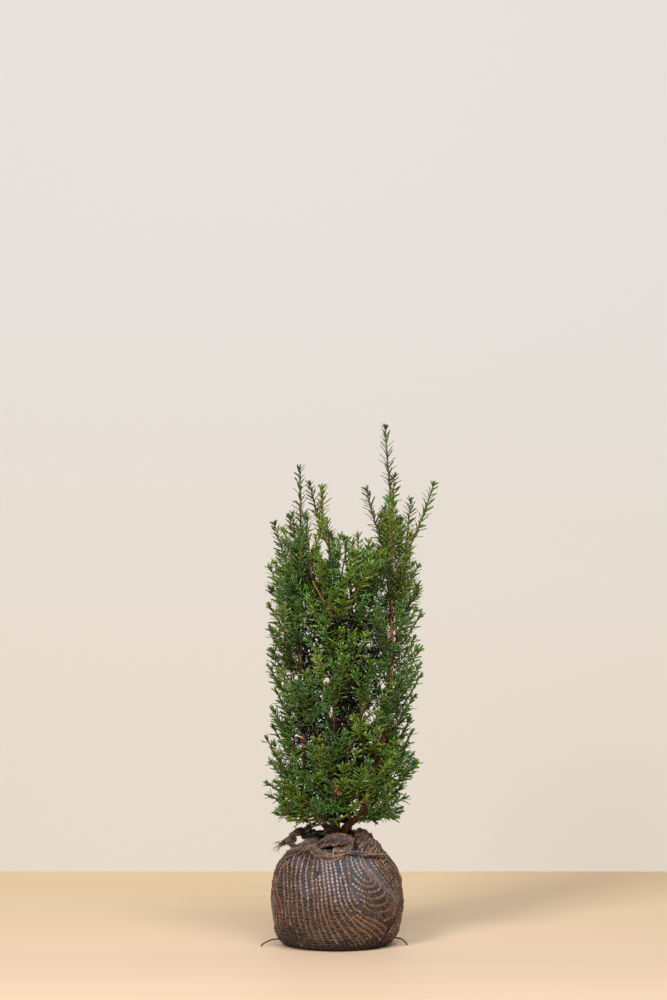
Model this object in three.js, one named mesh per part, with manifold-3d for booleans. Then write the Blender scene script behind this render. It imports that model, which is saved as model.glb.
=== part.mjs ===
// A young yew lifted for planting: five upright stems in needle that fork at
// once from a short trunk, on a root ball wrapped in knitted hessian.
// Millimetres, +Z up, +X to the right. The origin is the centre of the ball's
// flat underside.

import * as THREE from "three";
import { mergeVertices } from "three/addons/utils/BufferGeometryUtils.js";
import Module from "manifold-3d";

const wasm = await Module();
wasm.setup();

// Clearance between neighbours, and how near points are merged into one
const GAP = 0.3;
const MERGE_TOLERANCE = 1e-4;
const UP = new THREE.Vector3(0, 0, 1);

// Root ball: [radius, height] from the flat underside to the flat top
const BALL_PROFILE = [
  [85, 0], [94, 6], [103.5, 23], [109, 48], [110.5, 75], [108.5, 100], [104, 122],
  [97, 137], [86, 149], [72, 159], [54, 166.5], [36, 170],
];
const BALL_SIDES = 26;
const BALL_TOP = 170;

// The ball's lumps: their share of the radius, their count round it, and the
// height over which they turn by one radian
const BALL_LUMP = 0.012;
const BALL_LUMPS = 3;
const BALL_LUMP_TURN = 40;

// Trunk: a short stool with a root flare, oval in plan
const TRUNK_TOP = 190;
const TRUNK_HALF_WIDTH = 18;
const TRUNK_HALF_DEPTH = 15;
const TRUNK_FLARE = 1.3;
const TRUNK_WAIST = 0.1;
const TRUNK_MIDDLE_Y = 1;
const TRUNK_SIDES = 16;
const TRUNK_RINGS = 4;

// Limbs: their section, how fast they taper, and the share of its tip that a limb
// gives up to the branch that goes on from it
const LIMB_SIDES = 6;
const LIMB_RINGS = 8;
const LIMB_TAPER = 0.85;
const LIMB_SAMPLES = 40;
const TIP_SOCKET = 0.006;
const HEIGHT_STEPS = 24;

// Stems: radii at the foot, inside the trunk, and at the tip, and the route
const STEM_FOOT = TRUNK_TOP - 8;
const STEMS = {
  stem_right: {
    foot: 5.4,
    tip: 1.9,
    route: [[9, 1, STEM_FOOT], [16, 0, 197], [43, -4, 224], [67, -10, 310], [85, -12, 370],
      [93.5, -8, 489], [93.5, -2, 584], [93, 4, 757]],
  },
  stem_left: {
    foot: 5.2,
    tip: 2.0,
    route: [[-9, 1, STEM_FOOT], [-16, 1, 197], [-37, 4, 222], [-57, 8, 350], [-60, 6, 465],
      [-66, 2, 525], [-58, 0, 610], [-60, 2, 676]],
  },
  stem_centre: {
    foot: 4.3,
    tip: 2.1,
    route: [[0, 1, STEM_FOOT], [2, 1, 210], [15, 0, 330], [18, -3, 431], [33, -3, 495],
      [37, 0, 567], [40, 2, 622]],
  },
  stem_front: {
    foot: 4.2,
    tip: 1.9,
    route: [[-1, -7, STEM_FOOT], [-2, -11, 200], [-6, -30, 290], [-4, -46, 400], [4, -54, 480],
      [-8, -56, 552], [-42, -51, 622]],
  },
  stem_back: {
    foot: 4.4,
    tip: 1.9,
    route: [[1, 9, STEM_FOOT], [1, 13, 200], [2, 34, 290], [-4, 47, 400], [-6, 50, 520], [-8, 44, 650],
      [-26, 38, 712]],
  },
};

// Boughs: each leaves a stem at a height and runs on to its last point
const BOUGH_STRETCHES = 4;
const BOUGHS = {
  bough_upper_right: { on: "stem_right", at: 592, foot: 2.8, end: [121.5, -8, 671], tip: 1.8 },
  bough_front_right: { on: "stem_front", at: 262, foot: 3.0, end: [50, -72, 420], tip: 1.9 },
  bough_back_right: { on: "stem_back", at: 300, foot: 3.0, end: [56, 74, 452], tip: 1.9 },
  bough_back_left: { on: "stem_left", at: 268, foot: 3.0, end: [-62, 68, 425], tip: 1.9 },
};

// Leaders: young top shoots, each with its limb, the height it leaves at
// ("tip" goes on from the limb's end) and the point that it reaches
const LEADERS = {
  leader_top: { on: "stem_right", at: "tip", end: [82.5, 4, 883] },
  leader_inner_right: { on: "stem_right", at: 640, end: [48.5, -22, 776] },
  leader_outer_right: { on: "bough_upper_right", at: "tip", end: [166, -14, 785] },
  leader_middle_right: { on: "bough_upper_right", at: 646, end: [127, 26, 759] },
  leader_low_right: { on: "stem_right", at: 572, end: [140, -26, 646] },
  leader_top_left: { on: "stem_left", at: "tip", end: [-62, 4, 813] },
  leader_outer_left: { on: "stem_left", at: 585, end: [-106, -14, 718] },
  leader_rear_left: { on: "stem_left", at: 625, end: [-92, 34, 707] },
  leader_inner_left: { on: "stem_left", at: 652, end: [-80, -34, 730] },
  leader_low_left: { on: "stem_left", at: 538, end: [-114, 8, 645] },
  leader_front_left: { on: "stem_front", at: "tip", end: [-50, -46, 727] },
  leader_middle: { on: "stem_back", at: "tip", end: [-23, 30, 781] },
  leader_rear_middle: { on: "stem_back", at: 668, end: [-47, 52, 786] },
  leader_front_middle: { on: "stem_front", at: 560, end: [6, -50, 698] },
  leader_centre: { on: "stem_centre", at: "tip", end: [36, -4, 698] },
  leader_rear_right: { on: "stem_centre", at: 590, end: [56, 46, 688] },
};

// Body masses: tips spread by the golden angle over the crown's outline.
// Each row of the outline is [height, reach to the left, reach to the right].
const CROWN_OUTLINE = [
  [190, 84, 96], [226, 98, 112], [252, 118, 122], [303, 118, 142], [340, 120, 124], [400, 112, 124],
  [460, 114, 146], [560, 117, 146], [650, 118, 146], [720, 116, 160], [790, 84, 180], [900, 80, 112],
];
const CROWN_BOTTOM = 190;
const CROWN_DEPTH = 0.94;
const TIP_INSET = 0.9;
const BODY_COUNT = 23;
const BODY_LOWEST_TIP = 226;
const BODY_HIGHEST_TIP = 650;
const BODY_FIRST_TURN = 0.42;
const GOLDEN_TURN = (3 - Math.sqrt(5)) / 2;
const GOLDEN_SHARE = 1 - GOLDEN_TURN;

// A body mass leaves the limb that is nearest below its tip. It rises this much
// for each step outwards, from no lower than the lowest foot, and keeps off the
// limb's own ends.
const BODY_RISE = 1.5;
const BODY_LOWEST_FOOT = 232;
const FOOT_SLACK = 14;
const OFF_LIMB_FOOT = 24;
const OFF_LIMB_TIP = 12;
const RISE_WEIGHT = 2;

// Growth rule, the same for every mass: the axis sags, then side shoots leave it
// by the golden angle, and its last stretch is a straight end shoot
const AXIS_SAG = 0.13;
const AXIS_FOOT = 1.9;
const AXIS_TIP = 1.3;
const TWIG_SIDES = 3;
const TWIG_STATIONS = [0, 0.5, 1, 1.15];
const END_SHOOT_START = 0.34;
const BEND_STATIONS = [0, 0.33, 0.66];
const SIDE_TRIES = 24;
const SIDE_ANGLE = 0.7;
const SIDE_ANGLE_SPREAD = 0.15;
const SIDE_TURN_SPREAD = 0.12;
const SIDE_LIFT = 0.3;
const SIDE_TAPER = 0.5;
const SIDE_LENGTHS = [0.85, 1.1];
const SIDE_SHORTEST = 30;

// Side shoots of one mass keep this far apart at their tips, and in proportion
// at the first of these shares of their length
const SHOOT_SPACING = 31;
const APART_STATIONS = [0.6, 1];

// Habit by age: side shoots at most, the span of the axis that bears them, the
// longest one, and the needles' length and spacing
const HABIT = {
  young: { shoots: 2, span: [0.05, 0.42], reach: 60, needle: { length: 17, pitch: 20 } },
  grown: { shoots: 4, span: [0.16, 0.86], reach: 88, needle: { length: 30, pitch: 27 } },
};

// Needle blades: a rib with a row of saw teeth on both sides. A shoot or needle
// with no room is tried again shorter.
const SHORTENED = [1, 0.8, 0.6];
const NEEDLE_ANGLE = 0.95;
const NEEDLE_TAPER = 0.35;
const FIRST_NEEDLE = 7;
const BARE_TIP = 2;
const LEFT_OFFSET = 0.4;
const FEWEST_NEEDLES = 3;
const BLADE_THICKNESS = 1.7;
const RIB_HALF_WIDTH = 1.5;
const RIB_STATIONS = [0.3, 0.5, 0.75, 1];
const UPRIGHT = 0.98;

// Room that a mass keeps to its neighbours' spaces and to the limbs
const CELL_MARGIN = 1.4;
const LIMB_MARGIN = 1.2;

// Colours
const COLOURS = {
  hessian: 0x6d6656,
  wire: 0x3a2a1c,
  bark: 0x8a5f4a,
  needles: 0x4f6b2c,
  youngNeedles: 0x7d9a3a,
};

const FINISH = {
  hessian: new THREE.MeshStandardMaterial({ color: COLOURS.hessian, roughness: 0.95 }),
  wire: new THREE.MeshStandardMaterial({ color: COLOURS.wire, roughness: 0.7, metalness: 0.4 }),
  bark: new THREE.MeshStandardMaterial({ color: COLOURS.bark, roughness: 0.8 }),
  needles: new THREE.MeshStandardMaterial({ color: COLOURS.needles, roughness: 0.5 }),
  youngNeedles: new THREE.MeshStandardMaterial({ color: COLOURS.youngNeedles, roughness: 0.5 }),
};

const group = new THREE.Group();

// Chance: a small seeded generator with the same draws on any machine
const CHANCE_STEP = { factor: 1664525, shift: 1013904223 };
const CHANCE_RANGE = 2 ** 32;
const CHANCE_WARM_UP = 4;

class Chance {
  constructor(seed) {
    this.state = seed >>> 0;
    for (let i = 0; i < CHANCE_WARM_UP; i += 1) this.next();
  }

  next() {
    this.state = (Math.imul(this.state, CHANCE_STEP.factor) + CHANCE_STEP.shift) >>> 0;
    return this.state / CHANCE_RANGE;
  }

  between(low, high) {
    return low + (high - low) * this.next();
  }
}

function vector(values) {
  return new THREE.Vector3(...values);
}

// Solids: merged closed geometry in and out of the boolean library
function toSolid(geometry) {
  const bare = geometry.clone();
  bare.deleteAttribute("normal");
  bare.deleteAttribute("uv");
  const merged = mergeVertices(bare, MERGE_TOLERANCE);
  const mesh = new wasm.Mesh({
    numProp: 3,
    vertProperties: new Float32Array(merged.attributes.position.array),
    triVerts: new Uint32Array(merged.index.array),
  });
  return new wasm.Manifold(mesh);
}

function toGeometry(solid) {
  const mesh = solid.getMesh();
  const geometry = new THREE.BufferGeometry();
  geometry.setAttribute("position", new THREE.BufferAttribute(mesh.vertProperties, 3));
  geometry.setIndex(new THREE.BufferAttribute(mesh.triVerts, 1));
  geometry.computeVertexNormals();
  return geometry;
}

// The one sound body of a fused solid, without scraps or sealed hollows
function soundBody(solid) {
  const pieces = solid.decompose();
  return pieces.reduce((best, piece) => (piece.volume() > best.volume() ? piece : best));
}

function addPiece(name, geometry, finish) {
  const mesh = new THREE.Mesh(geometry, finish);
  mesh.name = name;
  group.add(mesh);
}

// A cylinder bent along a curve, with a radius for each share of its length,
// and lengthened at both ends where it is to cut its neighbours
function bentCylinder(curve, radiusAt, sides, rings, lengthened = 0) {
  const geometry = new THREE.CylinderGeometry(1, 1, 1, sides, rings);
  const frames = curve.computeFrenetFrames(rings, false);
  const position = geometry.attributes.position;
  for (let i = 0; i < position.count; i += 1) {
    const share = position.getY(i) + 0.5;
    const ring = Math.round(share * rings);
    const place = curve.getPointAt(share);
    const radius = radiusAt(share);
    if (ring === 0) place.addScaledVector(frames.tangents[ring], -lengthened);
    if (ring === rings) place.addScaledVector(frames.tangents[ring], lengthened);
    place.addScaledVector(frames.normals[ring], position.getZ(i) * radius);
    place.addScaledVector(frames.binormals[ring], position.getX(i) * radius);
    position.setXYZ(i, place.x, place.y, place.z);
  }
  return geometry;
}

// Root ball, or its shape grown by a clearance to cut its neighbours with
function ballGeometry(clearance) {
  const outline = BALL_PROFILE.map(([radius, height]) => {
    const lift = height > 0 ? clearance : 0;
    return new THREE.Vector2(radius + clearance, height + lift);
  });
  outline.unshift(new THREE.Vector2(0, 0));
  outline.push(new THREE.Vector2(0, BALL_TOP + clearance));
  const geometry = new THREE.LatheGeometry(outline, BALL_SIDES);
  geometry.rotateX(Math.PI / 2);
  const position = geometry.attributes.position;
  for (let i = 0; i < position.count; i += 1) {
    const x = position.getX(i);
    const y = position.getY(i);
    const z = position.getZ(i);
    const middle = Math.sin(Math.PI * Math.min(z / BALL_TOP, 1));
    const turn = Math.atan2(y, x);
    const lump = 1 + BALL_LUMP * middle * Math.sin(BALL_LUMPS * turn + z / BALL_LUMP_TURN);
    position.setXYZ(i, x * lump, y * lump, z);
  }
  return geometry;
}

// Gathered cloth on the ball's shoulder: rolls and folds cut clear of the ball
const CLOTH_PIECES = {
  hessian_fold_right: [
    { route: [[42, -10, 191], [46, -22, 180], [51, -34, 166], [55, -42, 152]], radii: [5, 16, 25, 28] },
  ],
  hessian_knot_front: [
    { route: [[-23, -44, 174], [-8, -48, 178], [8, -48, 179], [20, -45, 178]], radii: [9, 15, 15, 8] },
  ],
  hessian_lip_front: [
    { route: [[-44, -64, 163], [-22, -78, 156], [0, -81, 154], [16, -80, 154]], radii: [6, 7, 7, 5] },
  ],
  hessian_ear_left: [
    { route: [[-34, -8, 183], [-46, -11, 181], [-58, -13, 182], [-66, -14, 186]], radii: [9, 13, 12, 6] },
    { route: [[-60, -14, 188], [-74, -17, 186], [-86, -19, 178], [-97, -20, 169]], radii: [5, 4.4, 4, 3] },
  ],
  hessian_roll_back: [
    { route: [[36, 28, 178], [22, 44, 177], [-4, 50, 176], [-34, 32, 178]], radii: [9, 13, 13, 9] },
  ],
};
const CLOTH_SIDES = 8;
const CLOTH_RINGS = 6;

function steppedRadius(radii) {
  return (share) => {
    const place = share * (radii.length - 1);
    const step = Math.min(Math.floor(place), radii.length - 2);
    return THREE.MathUtils.lerp(radii[step], radii[step + 1], place - step);
  };
}

function clothPiece(rolls, ballWithGap) {
  const solids = rolls.map(({ route, radii }) => {
    const curve = new THREE.CatmullRomCurve3(route.map(vector));
    return toSolid(bentCylinder(curve, steppedRadius(radii), CLOTH_SIDES, CLOTH_RINGS));
  });
  const joined = solids.reduce((whole, solid) => whole.add(solid));
  return toGeometry(soundBody(joined.subtract(ballWithGap)));
}

// Loose ends of the binding wire, low on both sides
const WIRE_RADIUS = 1.2;
const WIRE_SIDES = 6;
const WIRE_RINGS = 8;
const WIRES = {
  wire_end_left: [[-92, -22, 12], [-110, -27, 10.5], [-119, -32, 7], [-125, -36, 4], [-127, -39, 1.6]],
  wire_end_right: [[94, -10, 12], [109, -14, 10.5], [114, -17, 7.5], [118, -20, 4], [120, -22, 1.6]],
};

function wireGeometry(route, ballWithGap) {
  const curve = new THREE.CatmullRomCurve3(route.map(vector));
  const rod = toSolid(bentCylinder(curve, () => WIRE_RADIUS, WIRE_SIDES, WIRE_RINGS));
  return toGeometry(soundBody(rod.subtract(ballWithGap)));
}

// Trunk: an oval stool that flares to its flat foot
function trunkGeometry(clearance) {
  const height = TRUNK_TOP - BALL_TOP - GAP + clearance;
  const geometry = new THREE.CylinderGeometry(1, TRUNK_FLARE, height, TRUNK_SIDES, TRUNK_RINGS);
  geometry.rotateX(Math.PI / 2);
  const position = geometry.attributes.position;
  for (let i = 0; i < position.count; i += 1) {
    const share = position.getZ(i) / height + 0.5;
    const waist = 1 - TRUNK_WAIST * Math.sin(Math.PI * share);
    const halfWidth = TRUNK_HALF_WIDTH * waist + clearance;
    const halfDepth = TRUNK_HALF_DEPTH * waist + clearance;
    position.setX(i, position.getX(i) * halfWidth);
    position.setY(i, position.getY(i) * halfDepth + TRUNK_MIDDLE_Y);
  }
  geometry.translate(0, 0, BALL_TOP + GAP + height / 2);
  return geometry;
}

// Limbs: a curve, a taper, and the questions that growth asks of them
class Limb {
  constructor(points, foot, tip) {
    this.curve = new THREE.CatmullRomCurve3(points, false, "centripetal");
    this.foot = foot;
    this.tip = tip;
    this.samples = this.curve.getSpacedPoints(LIMB_SAMPLES);
  }

  radiusAt(share) {
    return THREE.MathUtils.lerp(this.foot, this.tip, Math.pow(share, LIMB_TAPER));
  }

  shareAtHeight(height) {
    let low = 0;
    let high = 1;
    for (let step = 0; step < HEIGHT_STEPS; step += 1) {
      const middle = (low + high) / 2;
      if (this.curve.getPointAt(middle).z < height) low = middle;
      else high = middle;
    }
    return low;
  }

  // How far a point lies from the limb's surface
  clearance(point) {
    let nearest = Infinity;
    for (let i = 0; i < this.samples.length - 1; i += 1) {
      const segment = new THREE.Line3(this.samples[i], this.samples[i + 1]);
      const touch = segment.closestPointToPoint(point, true, new THREE.Vector3());
      const radius = this.radiusAt(i / (this.samples.length - 1));
      nearest = Math.min(nearest, touch.distanceTo(point) - radius);
    }
    return nearest;
  }

  // A branch starts inside the limb, and is then cut clear of it
  branchFoot(at) {
    return this.curve.getPointAt(at === "tip" ? 1 - TIP_SOCKET : this.shareAtHeight(at));
  }

  solid(clearance) {
    const radius = (share) => this.radiusAt(share) + clearance;
    return toSolid(bentCylinder(this.curve, radius, LIMB_SIDES, LIMB_RINGS, clearance));
  }
}

// A branch leaves its limb low and rises to its end
function branchCurve(foot, end) {
  const middle = foot.clone().lerp(end, 0.5);
  middle.z -= AXIS_SAG * foot.distanceTo(end);
  return new THREE.QuadraticBezierCurve3(foot, middle, end);
}

function growLimbs() {
  const limbs = {};
  for (const [name, { route, foot, tip }] of Object.entries(STEMS)) {
    limbs[name] = new Limb(route.map(vector), foot, tip);
  }
  for (const [name, { on, at, foot, end, tip }] of Object.entries(BOUGHS)) {
    const curve = branchCurve(limbs[on].branchFoot(at), vector(end));
    limbs[name] = new Limb(curve.getPoints(BOUGH_STRETCHES), foot, tip);
  }
  return limbs;
}

// The crown's half width on one side, and its half depth, at a height
function crownHalves(height, isLeft) {
  const rows = CROWN_OUTLINE;
  let row = 0;
  while (row < rows.length - 2 && rows[row + 1][0] < height) row += 1;
  const [low, lowLeft, lowRight] = rows[row];
  const [high, highLeft, highRight] = rows[row + 1];
  const share = THREE.MathUtils.clamp((height - low) / (high - low), 0, 1);
  const left = THREE.MathUtils.lerp(lowLeft, highLeft, share);
  const right = THREE.MathUtils.lerp(lowRight, highRight, share);
  return { side: isLeft ? left : right, depth: CROWN_DEPTH * (left + right) / 2 };
}

function insideCrown(point) {
  const { side, depth } = crownHalves(point.z, point.x < 0);
  return point.z > CROWN_BOTTOM && Math.hypot(point.x / side, point.y / depth) < 1;
}

// Mass sites: where each mass leaves its limb and what it reaches
function limbBelow(limbs, end) {
  let best = { cost: Infinity };
  for (const [name, limb] of Object.entries(limbs)) {
    const lowest = Math.max(limb.samples[0].z + OFF_LIMB_FOOT, BODY_LOWEST_FOOT - FOOT_SLACK);
    const highest = limb.samples[limb.samples.length - 1].z - OFF_LIMB_TIP;
    for (const point of limb.samples.filter(({ z }) => z > lowest && z < highest)) {
      const spread = Math.hypot(point.x - end.x, point.y - end.y);
      const rise = Math.min(BODY_RISE * spread, end.z - BODY_LOWEST_FOOT);
      const cost = spread + RISE_WEIGHT * Math.abs(end.z - point.z - rise);
      if (cost < best.cost) best = { name, at: point.z, cost };
    }
  }
  return best;
}

function bodySites(limbs) {
  const sites = {};
  for (let i = 0; i < BODY_COUNT; i += 1) {
    const turn = 2 * Math.PI * (BODY_FIRST_TURN + GOLDEN_TURN * i);
    const share = i / (BODY_COUNT - 1);
    const height = THREE.MathUtils.lerp(BODY_LOWEST_TIP, BODY_HIGHEST_TIP, share);
    const { side, depth } = crownHalves(height, Math.cos(turn) < 0);
    const end = new THREE.Vector3(side * Math.cos(turn), depth * Math.sin(turn), 0);
    end.multiplyScalar(TIP_INSET).setZ(height);
    const { name, at } = limbBelow(limbs, end);
    const label = `foliage_${String(i + 1).padStart(2, "0")}`;
    sites[label] = { on: name, at, end: end.toArray() };
  }
  return sites;
}

// A mass: its axis, and the shoots that the seeded rule adds along it
class Mass {
  constructor(name, seed, site, limbs, age) {
    this.name = name;
    this.seed = seed;
    this.age = age;
    const end = vector(site.end);
    const foot = limbs[site.on].branchFoot(site.at);
    this.axis = branchCurve(foot, end);
    this.start = this.axis.getPointAt(END_SHOOT_START);
    this.end = end;
    this.path = BEND_STATIONS.map((share) => this.axis.getPointAt(share * END_SHOOT_START));
    this.path.push(this.start, end);
  }

  // The axis bends up to where its end shoot starts, and is straight from there
  pointAt(share) {
    if (share < END_SHOOT_START) return this.axis.getPointAt(share);
    return this.start.clone().lerp(this.end, (share - END_SHOOT_START) / (1 - END_SHOOT_START));
  }

  distance(point) {
    let nearest = Infinity;
    for (let i = 0; i < this.path.length - 1; i += 1) {
      const segment = new THREE.Line3(this.path[i], this.path[i + 1]);
      const touch = segment.closestPointToPoint(point, true, new THREE.Vector3());
      nearest = Math.min(nearest, touch.distanceTo(point));
    }
    return nearest;
  }

  // Side shoots: golden angle round the axis, shorter towards its tip
  candidates() {
    const chance = new Chance(this.seed);
    const { span: [first, last], reach } = HABIT[this.age];
    const shoots = [];
    for (let i = 0; i < SIDE_TRIES; i += 1) {
      const share = THREE.MathUtils.lerp(first, last, (i * GOLDEN_SHARE) % 1);
      const along = this.axis.getTangentAt(share);
      const side = new THREE.Vector3().crossVectors(along, UP).normalize();
      const turn = 2 * Math.PI * (GOLDEN_TURN * i + SIDE_TURN_SPREAD * chance.next());
      const out = side.applyAxisAngle(along, turn);
      const angle = SIDE_ANGLE * chance.between(1 - SIDE_ANGLE_SPREAD, 1 + SIDE_ANGLE_SPREAD);
      const heading = along.clone().multiplyScalar(Math.cos(angle));
      heading.addScaledVector(out, Math.sin(angle));
      heading.z += SIDE_LIFT * chance.next();
      const length = reach * (1 - SIDE_TAPER * share) * chance.between(...SIDE_LENGTHS);
      const roll = chance.between(0, Math.PI);
      shoots.push({ start: this.pointAt(share), heading: heading.normalize(), length, roll });
    }
    return shoots;
  }

  endShoot() {
    const heading = this.end.clone().sub(this.start);
    const length = heading.length();
    const roll = new Chance(-this.seed).between(0, Math.PI);
    return { start: this.start, heading: heading.normalize(), length, roll };
  }
}

// The space of a mass: nearer its own axis than any other, and off the limbs
function staysInside(point, halfThickness, mass, masses, limbs) {
  if (!insideCrown(point)) return false;
  const own = mass.distance(point);
  const room = 2 * halfThickness + CELL_MARGIN;
  for (const other of masses) {
    if (other !== mass && other.distance(point) - own < room) return false;
  }
  return limbs.every((limb) => limb.clearance(point) > halfThickness + LIMB_MARGIN);
}

// A blade of needles: the outline lies in the plane of heading and width
class Blade {
  constructor({ start, heading, length, roll }, needle) {
    this.needle = needle;
    this.start = start;
    this.heading = heading;
    this.length = length;
    const level = Math.abs(heading.z) > UPRIGHT ? new THREE.Vector3(1, 0, 0) : UP;
    this.width = new THREE.Vector3().crossVectors(heading, level).normalize();
    this.width.applyAxisAngle(heading, roll);
    this.normal = new THREE.Vector3().crossVectors(this.width, heading);
  }

  place(across, along) {
    return this.start.clone().addScaledVector(this.heading, along).addScaledVector(this.width, across);
  }

  // The teeth of one side, each with its stretch of rib and its point
  teeth(side) {
    const room = this.length - FIRST_NEEDLE - BARE_TIP;
    const count = Math.max(2, Math.round(room / this.needle.pitch));
    const pitch = room / count;
    const first = FIRST_NEEDLE + (side < 0 ? pitch * LEFT_OFFSET : 0);
    const teeth = [];
    for (let root = first; root < this.length - BARE_TIP - pitch / 2; root += pitch) {
      const share = root / this.length;
      const top = Math.min(root + pitch, this.length - BARE_TIP);
      const reach = this.needle.length * (1 - NEEDLE_TAPER * share * share);
      const across = side * (RIB_HALF_WIDTH + reach * Math.sin(NEEDLE_ANGLE));
      const along = (root + top) / 2 + reach * Math.cos(NEEDLE_ANGLE);
      teeth.push({ root, top, across, along });
    }
    return teeth;
  }

  // The longest form of a needle that keeps inside, or none
  fitted(tooth, fits) {
    for (const share of SHORTENED) {
      const across = tooth.across * share;
      const along = THREE.MathUtils.lerp((tooth.root + tooth.top) / 2, tooth.along, share);
      const point = this.place(across, along);
      const middle = this.place(across / 2, (along + tooth.root) / 2);
      if (fits(point) && fits(middle)) return [{ ...tooth, across, along }];
    }
    return [];
  }

  // The blade's rib must fit whole, and each needle that doesn't is left out
  solid(fits) {
    const ribFits = RIB_STATIONS.every((share) => fits(this.place(0, this.length * share)));
    if (!ribFits) return null;
    const right = this.teeth(1).flatMap((tooth) => this.fitted(tooth, fits));
    const left = this.teeth(-1).flatMap((tooth) => this.fitted(tooth, fits));
    if (right.length + left.length < FEWEST_NEEDLES) return null;
    const outline = new THREE.Shape();
    outline.moveTo(RIB_HALF_WIDTH, 0);
    this.drawSide(outline, right, 1);
    outline.lineTo(0, this.length);
    this.drawSide(outline, left.reverse(), -1);
    outline.lineTo(-RIB_HALF_WIDTH, 0);
    const settings = { depth: BLADE_THICKNESS, bevelEnabled: false };
    const geometry = new THREE.ExtrudeGeometry(outline, settings);
    geometry.translate(0, 0, -BLADE_THICKNESS / 2);
    const turned = new THREE.Matrix4().makeBasis(this.width, this.heading, this.normal);
    geometry.applyMatrix4(turned.setPosition(this.start));
    return toSolid(geometry);
  }

  drawSide(outline, teeth, side) {
    const edge = side * RIB_HALF_WIDTH;
    let last = null;
    for (const { root, top, across, along } of teeth) {
      const [enter, leave] = side > 0 ? [root, top] : [top, root];
      if (last !== enter) outline.lineTo(edge, enter);
      outline.lineTo(across, along);
      outline.lineTo(edge, leave);
      last = leave;
    }
  }
}

// A new shoot keeps its outer half apart from the mass's other shoots
function keepsApart({ start, heading, length }, ribs) {
  const nearest = new THREE.Vector3();
  return APART_STATIONS.every((share) => {
    const point = start.clone().addScaledVector(heading, length * share);
    return ribs.every((rib) => {
      return rib.closestPointToPoint(point, true, nearest).distanceTo(point) > SHOOT_SPACING * share;
    });
  });
}

// The first of a shoot's lengths whose blade has room, or nothing
function fitShoot(candidate, ribs, needle, fits) {
  for (const share of SHORTENED) {
    const shoot = { ...candidate, length: candidate.length * share };
    if (shoot.length < SIDE_SHORTEST) return null;
    const blade = keepsApart(shoot, ribs) && new Blade(shoot, needle).solid(fits);
    if (blade) {
      const end = shoot.start.clone().addScaledVector(shoot.heading, shoot.length);
      return { blade, rib: new THREE.Line3(shoot.start, end) };
    }
  }
  return null;
}

function twigSolid(mass) {
  const points = TWIG_STATIONS.map((share) => mass.pointAt(share * END_SHOOT_START));
  const taper = (share) => THREE.MathUtils.lerp(AXIS_FOOT, AXIS_TIP, share);
  const rings = TWIG_STATIONS.length - 1;
  return toSolid(bentCylinder(new THREE.CatmullRomCurve3(points), taper, TWIG_SIDES, rings));
}

// A mass: twig, end shoot and side shoots fused, and cut clear of the limbs
function growMass(mass, masses, limbs, limbsWithGap) {
  const { shoots, needle } = HABIT[mass.age];
  const fits = (point) => staysInside(point, BLADE_THICKNESS / 2, mass, masses, limbs);
  const endBlade = new Blade(mass.endShoot(), needle).solid(fits);
  if (!endBlade) throw new Error(`${mass.name} has no room for its end shoot`);
  const ribs = [new THREE.Line3(mass.start, mass.end)];
  let solid = twigSolid(mass).add(endBlade);
  for (const candidate of mass.candidates()) {
    const shoot = ribs.length <= shoots && fitShoot(candidate, ribs, needle, fits);
    if (shoot) {
      solid = solid.add(shoot.blade);
      ribs.push(shoot.rib);
    }
  }
  for (const limb of limbsWithGap) solid = solid.subtract(limb);
  return toGeometry(soundBody(solid));
}

// Build
addPiece("root_ball", ballGeometry(0), FINISH.hessian);
const ballWithGap = toSolid(ballGeometry(GAP));
for (const [name, rolls] of Object.entries(CLOTH_PIECES)) {
  addPiece(name, clothPiece(rolls, ballWithGap), FINISH.hessian);
}
for (const [name, route] of Object.entries(WIRES)) {
  addPiece(name, wireGeometry(route, ballWithGap), FINISH.wire);
}
addPiece("trunk", trunkGeometry(0), FINISH.bark);
const trunkWithGap = toSolid(trunkGeometry(GAP));

const limbs = growLimbs();
const limbList = Object.values(limbs);
const limbsWithGap = limbList.map((limb) => limb.solid(GAP));
for (const [name, limb] of Object.entries(limbs)) {
  const parent = name in BOUGHS ? limbs[BOUGHS[name].on].solid(GAP) : trunkWithGap;
  addPiece(name, toGeometry(soundBody(limb.solid(0).subtract(parent))), FINISH.bark);
}

const sites = { ...LEADERS, ...bodySites(limbs) };
const masses = Object.entries(sites).map(([name, site], i) => {
  return new Mass(name, i + 1, site, limbs, name in LEADERS ? "young" : "grown");
});
for (const mass of masses) {
  const geometry = growMass(mass, masses, limbList, limbsWithGap);
  addPiece(mass.name, geometry, mass.age === "young" ? FINISH.youngNeedles : FINISH.needles);
}

export default group;
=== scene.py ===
"""A young yew on its root ball, which is wrapped in knitted hessian.

Metres, +Z up, +X to the right, -Y towards the viewer. Five stems fork from a
short trunk and bear leaders and masses of foliage, which a seeded rule grows
out to twigs and single needles. The ball wears its knitted columns, ladder
threads, folds and knot as real yarn.
"""

import logging
import math
from dataclasses import dataclass, field
from enum import Enum

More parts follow.
